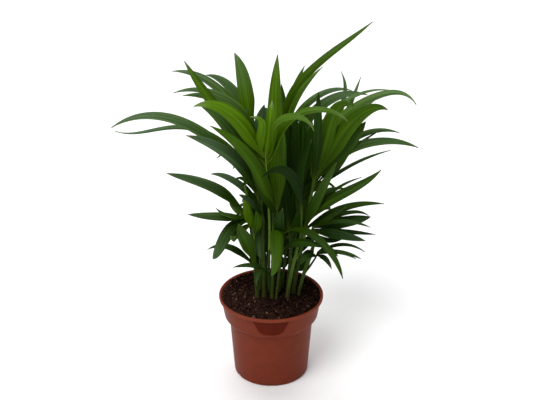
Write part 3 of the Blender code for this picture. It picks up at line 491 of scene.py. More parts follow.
def stem_line(row):
    """The midline and radii of a stem: upright out of the compost, then leaning to its top."""
    name, foot, top, foot_radius, top_radius = row
    start = np.array([foot[0], foot[1], SOIL_TOP + GAP])
    end = seen(*top)
    rise = end[2] - start[2]
    heights = np.array([0.0, 0.05, 0.12, 0.35, 0.68, 1.0])
    lean = np.clip((heights - 0.05) / 0.95, 0.0, 1.0) ** 1.25
    line = start + np.stack([lean * (end[0] - start[0]), lean * (end[1] - start[1]), heights * rise], 1)
    flare = 1.0 + 0.28 * np.exp(-heights * rise / 5.0)
    radii = (foot_radius + (top_radius - foot_radius) * heights) * flare
    return line, radii


def rib_line(stems, leads, stem, fork, start, end, turn):
    """Way points of a petiole and rib. The highest frond of a stem stands in line above it; the
    others leave its side at the height of the fork and rise along it at first."""
    line, radii = stems[stem]
    if leads:
        along = unit(line[-1] - line[-2])
        foot = line[-1] + along * GAP
        lift = min(LEAD_RISE, LEAD_RISE_SHARE * np.linalg.norm(start - foot))
        return [foot, foot + along * lift, start, end]
    height = min(max(fork, line[0][2] + LOWEST_FORK), line[-1][2] + HIGHEST_FORK)
    axis = np.array([np.interp(height, line[:, 2], line[:, k]) for k in (0, 1, 2)])
    stalk = np.interp(height, line[:, 2], radii)
    away = start - axis
    heading = math.atan2(away[1], away[0]) + turn
    lean = unit(np.array([np.interp(height + 1.0, line[:, 2], line[:, k]) for k in (0, 1, 2)]) - axis)
    side = np.array([math.cos(heading), math.sin(heading), 0.0])
    side = unit(side - (side @ lean) * lean)
    foot = axis + side * (stalk + GAP + PETIOLE_RADIUS + FOOT_SPARE)
    share = min(1.0, PETIOLE_RISE_SHARE * np.linalg.norm(start - foot) / PETIOLE_RISE)
    return [foot, foot + share * (side * PETIOLE_ASIDE + lean * PETIOLE_RISE), start, end]


def rib_radii(count):
    return np.linspace(PETIOLE_RADIUS, RIB_END_RADIUS, count)


def on_rib(path, steps, line, place):
    """The point of the rib's midline at a place from its start (0) to just before its end (1)."""
    chords = np.linalg.norm(np.diff(path, axis=0), axis=1)
    start = 1.0 - chords[-1] / chords.sum()
    at = start + (0.96 - start) * place
    return np.array([np.interp(at, steps, line[:, k]) for k in (0, 1, 2)])


def back_frond(row, stems, rng):
    """A frond grown by rule: leaflets in pairs, opening wide at the start of the rib and closing
    towards its end, each arching over to its tip."""
    name, stem, heading, reach, height, length, rise, pairs, leaf_length, leaf_width, leaf_rise = row
    top = stems[stem][0][-1]
    bearing = math.radians(heading)
    outward = np.array([math.cos(bearing), math.sin(bearing), 0.0])
    up = np.array([0.0, 0.0, 1.0])
    start = np.array([top[0], top[1], height]) + outward * reach
    tilt = math.radians(rise)
    end = start + length * (math.cos(tilt) * outward + math.sin(tilt) * up)
    leaves = []
    for pair in range(pairs):
        place = (pair + 0.6) / pairs
        for side in (-1.0, 1.0):
            spread = SPREAD_AT_START + (SPREAD_AT_END - SPREAD_AT_START) * place + rng.uniform(-7.0, 7.0)
            turn = bearing + side * math.radians(spread)
            way = np.array([math.cos(turn), math.sin(turn), 0.0])
            long = leaf_length * (0.72 + 0.28 * math.sin(math.pi * min(1.0, 0.25 + 0.6 * place)))
            long *= rng.uniform(0.9, 1.05)
            climb = math.radians(leaf_rise - ARCH + 16.0 * place + rng.uniform(-6.0, 6.0))
            bend = climb + 2.0 * math.radians(ARCH)
            base = start + (end - start) * min(1.0, place + 0.06 * side)
            middle = base + 0.52 * long * (math.cos(bend) * way + math.sin(bend) * up)
            tip = base + 0.93 * long * (math.cos(climb) * way + math.sin(climb) * up)
            leaves.append((min(1.0, place + 0.06 * side), leaf_width * rng.uniform(0.85, 1.05),
                           None, 0.35, np.array([middle, tip])))
    return name, stem, height - 60.0, start, end, leaves, unit(outward + 0.4 * up)


def way_seen(base, tip_depth, bow, way):
    """Way points of a leaflet in space, behind the places they are seen at."""
    flat = [base[[0, 2]]] + [np.array(p, float) for p in way]
    reach = np.concatenate([[0.0], np.cumsum([np.linalg.norm(b - a) for a, b in zip(flat, flat[1:])])])
    share = reach[1:] / reach[-1]
    depths = base[1] + (tip_depth - base[1]) * share + bow * 4.0 * share * (1.0 - share)
    return np.array([seen(p[0], p[1], d) for p, d in zip(way, depths)])


def front_frond(row):
    """A frond seen in front, its leaflets' ways set in space behind the places they are seen at."""
    name, stem, fork, start, end, leaves = row
    start = seen(*start)
    end = seen(*end)
    grown = []
    for place, width, tone, facing, tip_depth, bow, way in leaves:
        base = start + (end - start) * place
        grown.append((place, width, tone, facing, way_seen(base, tip_depth, bow, way)))
    return name, stem, fork, start, end, grown, FRONT_FACING


def slid(points, shares, tip_slide, bow_slide):
    """Way points slid along the lines of sight, so that the outline from the front stays."""
    moved = []
    for point, share in zip(points, shares):
        slide = tip_slide * share + bow_slide * 4.0 * share * (1.0 - share)
        sight = point - EYE
        moved.append(point + sight * (slide / sight[1]))
    return moved


def slides():
    """Pairs of slides of the tip and of the middle, the smallest first."""
    steps = [0, 4, -4, 8, -8, 13, -13, 19, -19, 26, -26, 34, -34, 44, -44, 56, -56]
    pairs = [(a, b) for a in steps for b in steps if abs(b) <= 34]
    return sorted(pairs, key=lambda p: (abs(p[0]) + 1.4 * abs(p[1]), p))


def stalk_room(line, leads):
    """The stalk with its clearance. A leading frond stands just above its own stem, so its lowest
    end keeps no clearance."""
    line = line.copy()
    if leads:
        line[0] += unit(line[1] - line[0]) * CLEARANCE
    return tube_solid(line, rib_radii(len(line)) + CLEARANCE)


def set_rib(room, stems, leads, stem, fork, start, end):
    """The first way of a petiole and rib that stands clear of all that is there."""
    for turn in np.radians([0, 35, -35, 70, -70, 105, -105, 140, -140, 180]):
        for slide in (0, 3, -3, 6, -6, 10, -10, 15, -15, 21, -21):
            path = rib_line(stems, leads, stem, fork, *slid([start, end], [1.0, 1.0], slide, 0), turn)
            steps, line = bent(path, RIB_STEPS)
            if room.clear("", *stalk_room(line, leads)):
                return path, steps, line
    return None


def set_leaflet(room, name, base, way, width, facing, front):
    """The leaflet's way, slid or narrowed as little as keeps it clear of other fronds."""
    points = np.vstack([base, way])
    reach = np.concatenate([[0.0], np.cumsum(np.linalg.norm(np.diff(points, axis=0), axis=1))])
    shares = reach[1:] / reach[-1]
    for scale in (1.0, 0.75, 0.5):
        for tip_slide, bow_slide in slides():
            moved = np.vstack([base, slid(way, shares, tip_slide, bow_slide)])
            if room.clear(name, *blade_solid(moved, width * scale, facing, front, CLEARANCE)):
                room.add(name, *blade_solid(moved, width * scale, facing, front))
                return moved, width * scale
    return None


@functools.lru_cache(maxsize=1)
def grow():
    """Stems, and fronds as (name, stem, leads, path, front, leaflets), all clear of each other."""
    rng = np.random.default_rng(SEED)
    stems = {row[0]: stem_line(row) for row in STEMS}
    fronds = [front_frond(row) for row in FRONDS] + [back_frond(row, stems, rng) for row in BACK_FRONDS]
    room = Room()
    for name, (line, radii) in stems.items():
        room.add(name, *tube_solid(line, radii))
    highest = {}
    for frond in fronds:
        if frond[1] not in highest or frond[3][2] > highest[frond[1]][3][2]:
            highest[frond[1]] = frond
    grown = []
    for name, stem, fork, start, end, leaves, front in fronds:
        leads = highest[stem][0] == name
        found = set_rib(room, stems, leads, stem, fork, start, end)
        if found:
            room.add(name, *tube_solid(found[2], rib_radii(RIB_STEPS)))
            grown.append((name, stem, leads, found, front, leaves))
    tones = np.random.default_rng(SEED + 1)
    fronds = []
    for name, stem, leads, (path, steps, line), front, leaves in grown:
        kept = []
        for place, width, tone, facing, way in leaves:
            base = on_rib(path, steps, line, place)
            placed = set_leaflet(room, name, base, way, width, facing, front)
            if tone is None:
                tone = tones.uniform(BACK_TONE_LOW, BACK_TONE_HIGH)
            if placed:
                kept.append((placed[0], placed[1], facing, tone))
        fronds.append((name, stem, leads, path, front, kept))
    by_name = {row[0]: found for row, found in zip(grown, fronds)}
    for name, (place, width, tone, facing, tip_depth, bow, way) in INNER_LEAFLETS:
        frond = by_name[name]
        base = on_rib(frond[3], *bent(frond[3], RIB_STEPS), place)
        placed = set_leaflet(room, name, base, way_seen(base, tip_depth, bow, way), width, facing, frond[4])
        if placed:
            frond[5].append((placed[0], placed[1], facing, tone))
    return stems, fronds


# Meshes from whole arrays

class Parts:
    """Corners, faces, tints and texture places of many like shapes, joined into one mesh."""

    def __init__(self):
        self.corners = []
        self.quads = []
        self.tints = []
        self.places = []
        self.count = 0
        self.nodes = []

    def add(self, corners, quads, tints, places):
        self.quads.append(np.where(quads < 0, -1, quads + self.count))
        self.corners.append(corners)
        self.tints.append(tints)
        self.places.append(places)
        self.count += len(corners)

    def triangles(self):
        return 2 * sum(len(q) for q in self.quads)

    def build(self, name, material):
        """One smooth mesh object in metres, its tint a colour attribute and its places a UV map."""
        corners = np.concatenate(self.corners) * MM
        quads = np.concatenate(self.quads)
        mesh = bpy.data.meshes.new(name)
        mesh.vertices.add(len(corners))
        mesh.vertices.foreach_set("co", corners.astype(np.float32).ravel())
        three = quads[:, 3] < 0
        loops = np.where(three[:, None], [True, True, True, False], True)
        totals = loops.sum(1)
        order = quads[loops]
        mesh.loops.add(len(order))
        mesh.loops.foreach_set("vertex_index", order.astype(np.int32))
        mesh.polygons.add(len(quads))
        mesh.polygons.foreach_set("loop_start", np.concatenate([[0], np.cumsum(totals)[:-1]]).astype(np.int32))
        mesh.update(calc_edges=True)
        tint = mesh.color_attributes.new("tint", "FLOAT_COLOR", "POINT")
        tints = np.concatenate(self.tints)
        tint.data.foreach_set("color", np.hstack([tints, np.ones((len(tints), 1))]).astype(np.float32).ravel())
        places = mesh.uv_layers.new(name="places")
        places.data.foreach_set("uv", np.concatenate(self.places)[order].astype(np.float32).ravel())
        mesh.validate()
        mesh.shade_smooth()
        made = bpy.data.objects.new(name, mesh)
        bpy.context.scene.collection.objects.link(made)
        mesh.materials.append(material)
        return made


def ring_quads(rings, sides, closed=True):
    """Quads between rings of points; closed joins the last side to the first."""
    r = np.arange(rings - 1)[:, None] * sides
    s = np.arange(sides if closed else sides - 1)[None, :]
    t = (s + 1) % sides
    return np.stack([r + t, r + s, r + sides + s, r + sides + t], -1).reshape(-1, 4)


def end_quads(first, sides, flip):
    """A strip of quads that closes a flat ring of an even number of points."""
    half = sides // 2
    k = np.arange(half - 1)
    strip = np.stack([k, k + 1, sides - 2 - k, sides - 1 - k], -1) + first
    return strip[:, ::-1] if flip else strip


def green(tone):
    return np.stack([np.interp(tone, TONES, [g[k] for g in GREENS]) for k in range(3)], -1)


def mixed(a, b, share):
    share = np.asarray(share)[..., None]
    return np.asarray(a) * (1.0 - share) + np.asarray(b) * share


def smooth_line(line, radii, count):
    """Points and radii along a stem, its bends rounded off."""
    reach = np.concatenate([[0.0], np.cumsum(np.linalg.norm(np.diff(line, axis=0), axis=1))])
    at = np.linspace(0.0, reach[-1], count)
    fine = np.stack([np.interp(at, reach, line[:, k]) for k in (0, 1, 2)], 1)
    width = np.interp(at, reach, radii)
    for _ in range(12):
        fine[1:-1] = 0.25 * fine[:-2] + 0.5 * fine[1:-1] + 0.25 * fine[2:]
        width[1:-1] = 0.25 * width[:-2] + 0.5 * width[1:-1] + 0.25 * width[2:]
    return at, fine, width


def stalk_rings(line, radii, sides):
    """Rings round a line: P(s, a) = line(s) + r(s, a) (cos a first(s) + sin a second(s)), where first
    is level and square to the line."""
    along = unit(np.gradient(line, axis=0))
    first = unit(np.cross(along, [0.0, 1.0, 0.02]))
    second = np.cross(along, first)
    angles = np.arange(sides) * 2.0 * math.pi / sides
    ring = np.cos(angles)[None, :, None] * first[:, None] + np.sin(angles)[None, :, None] * second[:, None]
    return (line[:, None] + ring * radii[..., None]).reshape(-1, 3), angles


def add_stalk(parts, line, radii, sides, tints, reach):
    corners, angles = stalk_rings(line, radii, sides)
    rings = len(line)
    quads = [ring_quads(rings, sides), end_quads(0, sides, False), end_quads((rings - 1) * sides, sides, True)]
    places = np.stack(np.broadcast_arrays(angles[None, :] / (2.0 * math.pi), reach[:, None] / 100.0), -1)
    parts.add(corners, np.concatenate(quads), np.broadcast_to(tints[:, None], (rings, sides, 3)).reshape(-1, 3),
              places.reshape(-1, 2))


def bumps(reach, places, width):
    """Smooth raised rings of a width at places along a stalk."""
    total = np.zeros_like(reach)
    for place in places:
        total += np.exp(-((reach - place) / width) ** 2)
    return total


def value_noise(x, y, cell, rng):
    """Smooth noise from -1 to 1: random values on a square grid, eased between its points."""
    u = x / cell
    v = y / cell
    i = np.floor(u).astype(int)
    j = np.floor(v).astype(int)
    size = int(max(i.max() - i.min(), j.max() - j.min())) + 3
    table = rng.uniform(-1.0, 1.0, (size, size))
    a = i - i.min()
    b = j - j.min()
    s = u - i
    t = v - j
    s = s * s * (3.0 - 2.0 * s)
    t = t * t * (3.0 - 2.0 * t)
    low = table[a, b] * (1.0 - s) + table[a + 1, b] * s
    high = table[a, b + 1] * (1.0 - s) + table[a + 1, b + 1] * s
    return low * (1.0 - t) + high * t


# Materials

def new_material(name, roughness, specular=0.5):
    made = bpy.data.materials.new(name)
    made.use_nodes = True
    shader = made.node_tree.nodes["Principled BSDF"]
    shader.inputs["Roughness"].default_value = roughness
    shader.inputs["Specular IOR Level"].default_value = specular
    return made, made.node_tree, shader


def tint_node(tree):
    node = tree.nodes.new("ShaderNodeAttribute")
    node.attribute_name = "tint"
    return node.outputs["Color"]


def noise_shade(tree, vector, scale, detail, low, high):
    """Noise at a scale over a vector, mapped to a range of brightness."""
    noise = tree.nodes.new("ShaderNodeTexNoise")
    noise.inputs["Scale"].default_value = scale
    noise.inputs["Detail"].default_value = detail
    tree.links.new(vector, noise.inputs["Vector"])
    spread = tree.nodes.new("ShaderNodeMapRange")
    spread.inputs["From Min"].default_value = 0.3
    spread.inputs["From Max"].default_value = 0.7
    spread.inputs["To Min"].default_value = low
    spread.inputs["To Max"].default_value = high
    tree.links.new(noise.outputs["Fac"], spread.inputs["Value"])
    return spread.outputs["Result"]


def streaks(tree, scale, detail, low, high):
    """Noise stretched by scale over the UV places, mapped to a range of brightness."""
    place = tree.nodes.new("ShaderNodeUVMap")
    place.uv_map = "places"
    stretch = tree.nodes.new("ShaderNodeVectorMath")
    stretch.operation = "MULTIPLY"
    stretch.inputs[1].default_value = scale
    tree.links.new(place.outputs["UV"], stretch.inputs[0])
    return noise_shade(tree, stretch.outputs["Vector"], 1.0, detail, low, high)


def grain(tree, scale, detail, low, high):
    """Noise over Object coordinates, mapped to a range of brightness."""
    place = tree.nodes.new("ShaderNodeTexCoord")
    return noise_shade(tree, place.outputs["Object"], scale, detail, low, high)


def times(tree, colour, factor):
    scale = tree.nodes.new("ShaderNodeVectorMath")
    scale.operation = "SCALE"
    tree.links.new(colour, scale.inputs[0])
    tree.links.new(factor, scale.inputs["Scale"])
    return scale.outputs["Vector"]


def bump(tree, shader, height, strength, distance):
    node = tree.nodes.new("ShaderNodeBump")
    node.inputs["Strength"].default_value = strength
    node.inputs["Distance"].default_value = distance
    tree.links.new(height, node.inputs["Height"])
    tree.links.new(node.outputs["Normal"], shader.inputs["Normal"])


def leaf_material(settings):
    """Satin leaf: the leaflet's green with its painted light, shade and sheen, with fine veins along it."""
    made, tree, shader = new_material("leaf", settings.roughness, 0.03)
    veins = streaks(tree, (5.5, 0.5, 1.0), 1.0, 1.0 - settings.vein_contrast, 1.0 + settings.vein_contrast)
    patches = streaks(tree, (1.5, 2.2, 1.0), 2.0, 0.85, 1.15)
    shaded = times(tree, times(tree, tint_node(tree), veins), patches)
    tree.links.new(shaded, shader.inputs["Base Color"])
    bump(tree, shader, veins, 0.4, 0.0005)
    return made


def stem_material(settings, name):
    """Smooth green stalk with faint lengthwise streaks."""
    made, tree, shader = new_material(name, settings.roughness, 0.03)
    veins = streaks(tree, (9.0, 2.2, 1.0), 3.0, 0.80, 1.18)
    tree.links.new(times(tree, tint_node(tree), veins), shader.inputs["Base Color"])
    bump(tree, shader, veins, 0.2, 0.0004)
    return made


def pot_material(settings):
    """Satin moulded plastic with a faint scuffed grain."""
    made, tree, shader = new_material("pot_plastic", settings.roughness, 0.05)
    tree.links.new(times(tree, tint_node(tree), grain(tree, 90.0, 4.0, 0.93, 1.07)), shader.inputs["Base Color"])
    bump(tree, shader, grain(tree, 900.0, 2.0, 0.0, 1.0), 0.05, 0.0002)
    return made


def soil_material():
    """Moist crumbly compost."""
    made, tree, shader = new_material("compost", 1.0, 0.0)
    tree.links.new(times(tree, tint_node(tree), grain(tree, 700.0, 4.0, 0.55, 1.45)), shader.inputs["Base Color"])
    bump(tree, shader, grain(tree, 1400.0, 3.0, 0.0, 1.0), 0.5, 0.0005)
    return made


# Settings

class PotSettings(PropertyGroup):
    rim_radius: FloatProperty(
        name="Rim radius", description="Outer radius of the rim", default=0.060, unit="LENGTH")
    height: FloatProperty(name="Height", description="Height of the pot", default=0.0995, unit="LENGTH")
    lip_height: FloatProperty(
        name="Lip height", description="Height of the lip round the rim", default=0.004, unit="LENGTH")
    lip_width: FloatProperty(
        name="Lip width", description="Width of the rim's level top", default=0.0015, unit="LENGTH")
    collar_top_radius: FloatProperty(
        name="Collar top radius", description="Collar's radius under the lip", default=0.0574, unit="LENGTH")
    collar_bottom_radius: FloatProperty(
        name="Collar bottom radius", description="Collar's radius at its lower edge", default=0.0540,
        unit="LENGTH")
    collar_bottom: FloatProperty(
        name="Collar bottom", description="Height of the collar's lower edge", default=0.0736, unit="LENGTH")
    body_top_radius: FloatProperty(
        name="Body top radius", description="Radius under the collar", default=0.0481, unit="LENGTH")
    body_top: FloatProperty(
        name="Body top", description="Height where the body meets the collar", default=0.0690, unit="LENGTH")
    base_radius: FloatProperty(
        name="Base radius", description="Radius at the foot", default=0.0431, unit="LENGTH")
    wall: FloatProperty(name="Wall", description="Wall thickness", default=0.0016, unit="LENGTH")
    panel_depth: FloatProperty(
        name="Panel depth", description="How far the plain panel is sunk into the collar", default=0.0006,
        unit="LENGTH")
    panel_half_width: FloatProperty(
        name="Panel half width", description="Half the panel's width at its top", default=0.0205,
        unit="LENGTH")
    drain_slots: IntProperty(name="Drainage slots", description="Slots round the foot", default=6, min=0)
    turns: IntProperty(name="Steps round", description="Steps round the pot", default=360, min=24)
    colour: FloatVectorProperty(
        name="Colour", description="Plastic colour", default=(0.172, 0.032, 0.015), subtype="COLOR")
    # The lip is painted a little lighter than the body: painted light on the rim
    lip_lit_colour: FloatVectorProperty(
        name="Lip colour", description="Colour of the lip", default=(0.200, 0.040, 0.019), subtype="COLOR")
    panel_colour: FloatVectorProperty(
        name="Panel colour", description="Colour of the sunk panel", default=(0.092, 0.009, 0.002),
        subtype="COLOR")
    roughness: FloatProperty(
        name="Roughness", description="Roughness of the plastic", default=0.42, subtype="FACTOR")


class SoilSettings(PropertyGroup):
    level: FloatProperty(name="Level", description="Height of the compost", default=0.0968, unit="LENGTH")
    radius: FloatProperty(name="Radius", description="Radius of the compost", default=0.0571, unit="LENGTH")
    unevenness: FloatProperty(
        name="Unevenness", description="Rise and fall of the surface", default=0.0007, unit="LENGTH")
    crumbs: IntProperty(name="Crumbs", description="Number of loose crumbs", default=3000, min=0)
    crumb_size: FloatProperty(
        name="Crumb size", description="Usual radius of a crumb", default=0.0008, unit="LENGTH")


class StalkSettings(PropertyGroup):
    sides: IntProperty(name="Sides", description="Steps round a stem", default=16, min=6)
    rings: IntProperty(name="Rings", description="Steps along a stem", default=72, min=8)
    node_spacing: FloatProperty(
        name="Ring spacing", description="Distance between the rings of a stem", default=0.024,
        unit="LENGTH")
    node_rise: FloatProperty(
        name="Ring rise", description="How far a ring stands out, as a share of the radius", default=0.10,
        subtype="FACTOR")
    sheath: FloatProperty(
        name="Sheath", description="Length of the sheath at a petiole's foot", default=0.012,
        unit="LENGTH")
    roughness: FloatProperty(
        name="Roughness", description="Roughness of stems", default=0.45, subtype="FACTOR")


class LeafSettings(PropertyGroup):
    rings: IntProperty(name="Steps along", description="Steps along a leaflet", default=40, min=8)
    across: IntProperty(name="Steps across", description="Steps across a leaflet", default=17, min=5)
    thickness: FloatProperty(
        name="Thickness", description="Thickness of a leaflet", default=0.00045, unit="LENGTH")
    fold: FloatProperty(
        name="Fold", description="Drop of a leaflet's margins, as a share of its half width", default=0.38,
        subtype="FACTOR")
    pleats: IntProperty(name="Pleats", description="Veins that show as pleats", default=4, min=0)
    pleat_depth: FloatProperty(
        name="Pleat depth", description="Depth of a pleat", default=0.00024, unit="LENGTH")
    ripple: FloatProperty(
        name="Ripple", description="Ripple of the margins, as a share of the half width", default=0.05,
        subtype="FACTOR")
    vein_contrast: FloatProperty(
        name="Vein contrast", description="Contrast of the fine veins", default=0.26, subtype="FACTOR")
    roughness: FloatProperty(
        name="Roughness", description="Roughness of the leaflets", default=0.38, subtype="FACTOR")


class StageSettings(PropertyGroup):
    floor_size: FloatProperty(name="Floor size", description="Side of the floor", default=60.0, unit="LENGTH")
    floor_colour: FloatVectorProperty(
        name="Floor colour", description="Colour of the floor", default=(0.95, 0.95, 0.95), subtype="COLOR")
    world_light: FloatProperty(name="World light", description="Light from all round", default=0.20)
    backdrop: FloatProperty(name="Backdrop", description="Brightness seen behind the floor", default=0.95)
    key_strength: FloatProperty(name="Key light", description="Strength of the key light", default=2.0)
    fill_strength: FloatProperty(name="Fill light", description="Strength of the fill light", default=0.2)
    back_strength: FloatProperty(name="Back light", description="Strength of the back light", default=2.0)
    camera_place: FloatVectorProperty(
        name="Camera place", description="Where the camera stands", default=(0.0016, -1.0377, 0.7023),
        subtype="TRANSLATION")
    camera_pitch: FloatProperty(
        name="Camera pitch", description="Camera's tilt from looking straight down",
        default=math.radians(64.965), subtype="ANGLE")
    lens: FloatProperty(name="Lens", description="Focal length", default=68.48, unit="CAMERA")


class PalmSettings(PropertyGroup):
    pot: PointerProperty(type=PotSettings)
    soil: PointerProperty(type=SoilSettings)
    stalk: PointerProperty(type=StalkSettings)
    leaf: PointerProperty(type=LeafSettings)
    stage: PointerProperty(type=StageSettings)


# Pot

DRAIN_FIRST_DEG = -150.0
DRAIN_WIDTH = 5.0
DRAIN_HEIGHT = 2.4
DRAIN_DEPTH = 4.0
PANEL_LEAN = 0.45
PANEL_TOP_GAP = 0.6
PANEL_BOTTOM_GAP = 2.2
PANEL_ROUNDING = 7.0
PANEL_EDGE = 0.5


def eased_profile(points, spacing, passes):
    """Points at even spacings along a profile, its corners eased by repeated averaging."""
    points = np.asarray(points, float)
    reach = np.concatenate([[0.0], np.cumsum(np.linalg.norm(np.diff(points, axis=0), axis=1))])
    at = np.linspace(0.0, reach[-1], int(reach[-1] / spacing))
    fine = np.stack([np.interp(at, reach, points[:, k]) for k in (0, 1)], 1)
    for _ in range(passes):
        fine[1:-1] = 0.25 * fine[:-2] + 0.5 * fine[1:-1] + 0.25 * fine[2:]
    return fine


def pot_profile(s):
    """Radius and height down the outside of the pot, under it, and up its inside."""
    rim, top, lip = s.rim_radius / MM, s.height / MM, (s.height - s.lip_height) / MM
    upper, lower, ledge = s.collar_top_radius / MM, s.collar_bottom_radius / MM, s.collar_bottom / MM
    neck, waist, base, wall = s.body_top_radius / MM, s.body_top / MM, s.base_radius / MM, s.wall / MM
    outside = eased_profile((
        (rim - s.lip_width / MM, top), (rim - 0.5, top), (rim, top - 0.6), (rim, lip + 0.4), (rim - 0.4, lip),
        (upper, lip - 0.6), (lower, ledge + 0.8), (lower - 0.9, ledge), (neck + 0.6, waist + 0.8),
        (neck, waist - 0.6), (base + 0.15, 1.2), (base - 1.2, 0.0), (base - 9.0, 0.0)), 0.6, 1)
    under = np.array([(base - 14.0, 0.0), (base * 0.4, 0.0), (0.01, 0.0), (0.01, FLOOR), (base - wall, FLOOR)])
    inside = np.array([(neck - wall, waist + 1.0), (lower - wall, ledge + 1.8), (upper - wall, lip)])
    return np.vstack([outside, under, inside])


def panel_share(across, height, s):
    """1 inside the plain sunk panel on the front of the collar and 0 outside it, easing at its edge."""
    top = (s.height - s.lip_height) / MM - PANEL_TOP_GAP
    bottom = s.collar_bottom / MM + PANEL_BOTTOM_GAP
    side = s.panel_half_width / MM - PANEL_LEAN * (top - height) - np.abs(across)
    side = side / math.hypot(1.0, PANEL_LEAN)
    floor = height - bottom
    blend = np.clip(0.5 + 0.5 * (floor - side) / PANEL_ROUNDING, 0.0, 1.0)
    inner = floor * (1.0 - blend) + side * blend - PANEL_ROUNDING * blend * (1.0 - blend)
    inner = np.minimum(inner, top - height)
    return np.clip(inner / PANEL_EDGE + 0.5, 0.0, 1.0)


class PALM_OT_pot(Operator):
    """Builds the pot: P(h, a) = (r(h, a) cos a, r(h, a) sin a, z(h)) down its profile, where r is the
    profile's radius less the depth of the sunk panel, and the drainage slots are folded inwards"""

    bl_idname = "palm.pot"
    bl_label = "Pot"

    def execute(self, context):
        s = context.scene.palm.pot
        profile = pot_profile(s)
        rows = len(profile)
        angles = np.arange(s.turns) * 2.0 * math.pi / s.turns
        radius = np.broadcast_to(profile[:, :1], (rows, s.turns)).copy()
        height = np.broadcast_to(profile[:, 1:], (rows, s.turns)).copy()
        outer = np.arange(rows)[:, None] < rows - 8
        on_collar = outer & (height < (s.height - s.lip_height) / MM) & (height > s.collar_bottom / MM)
        front = np.sin(angles)[None, :] < -0.5
        panel = panel_share(radius * np.cos(angles), height, s) * (on_collar & front)
        radius -= panel * s.panel_depth / MM
        base = s.base_radius / MM
        for k in range(s.drain_slots):
            middle = math.radians(DRAIN_FIRST_DEG + 360.0 * k / s.drain_slots)
            off = (angles - middle + math.pi) % (2.0 * math.pi) - math.pi
            inside = (np.abs(off) * base < DRAIN_WIDTH / 2.0)[None, :] & outer
            wall = inside & (height < DRAIN_HEIGHT) & (radius > base - 1.3)
            under = inside & (height <= 0.01) & (radius <= base - 1.0) & (radius > base - DRAIN_DEPTH)
            share = np.clip((DRAIN_HEIGHT - height) / DRAIN_HEIGHT, 0.0, 1.0)
            rise = np.clip((radius - base + DRAIN_DEPTH) / (DRAIN_DEPTH - 1.0), 0.0, 1.0)
            radius = np.where(wall, radius - DRAIN_DEPTH * share, np.where(under, base - DRAIN_DEPTH, radius))
            height = np.where(wall, DRAIN_HEIGHT, np.where(under, DRAIN_HEIGHT * rise, height))
        corners = np.stack([radius * np.cos(angles), radius * np.sin(angles), height], -1)
        lip = (profile[:, 1] > (s.height - s.lip_height) / MM - 0.2)[:, None]
        # Painted light on the rim: the lip lighter than the body
        tints = np.where(lip[..., None], np.array(s.lip_lit_colour), np.array(s.colour))
        tints = np.broadcast_to(tints, (rows, s.turns, 3))
        tints = mixed(tints, np.array(s.panel_colour), panel)
        places = np.stack(np.broadcast_arrays(angles[None, :] / (2.0 * math.pi), height / 100.0), -1)
        quads = ring_quads(rows, s.turns)
        last = np.arange(s.turns)
        close = np.stack([last, (last + 1) % s.turns], -1)
        rim = np.hstack([(rows - 1) * s.turns + close[:, ::-1], close])
        parts = Parts()
        parts.add(corners.reshape(-1, 3), np.concatenate([quads, rim]), tints.reshape(-1, 3),
                  places.reshape(-1, 2))
        made = parts.build("pot_shell", pot_material(s))
        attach(made, "root")
        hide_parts("pot")
        return {"FINISHED"}


# Compost

def dryness_and_light(x, y):
    """How light the compost is at a place: 0.6 on its damp, shaded side to 1.3 on its dry, lit side. The darker
    side is partly damp compost and partly painted shade.
    """
    side = (x * SOIL_DRY_LIT_SIDE[0] + y * SOIL_DRY_LIT_SIDE[1]) / 45.0
    return np.clip(0.87 + 0.48 * side, 0.60, 1.30)


def edge_rise(radius):
    """How much higher the compost lies at a distance from the pot's axis than in its middle."""
    return SOIL_EDGE_RISE * np.clip((radius - SOIL_LEVEL_RADIUS) / 11.0, 0.0, 1.0)


def crumb_shape():
    """Corners and faces of a small lump: an octahedron with its edges pushed out."""
    corners = np.array([
        (1, 0, 0), (0, 1, 0), (-1, 0, 0), (0, -1, 0), (0, 0, 1), (0, 0, -1),
        (0.7, 0.7, 0), (-0.7, 0.7, 0), (-0.7, -0.7, 0), (0.7, -0.7, 0),
    ])
    belt = [0, 6, 1, 7, 2, 8, 3, 9]
    faces = []
    for k, a in enumerate(belt):
        b = belt[(k + 1) % len(belt)]
        faces.append((a, b, 4, -1))
        faces.append((b, a, 5, -1))
    return corners, np.array(faces)


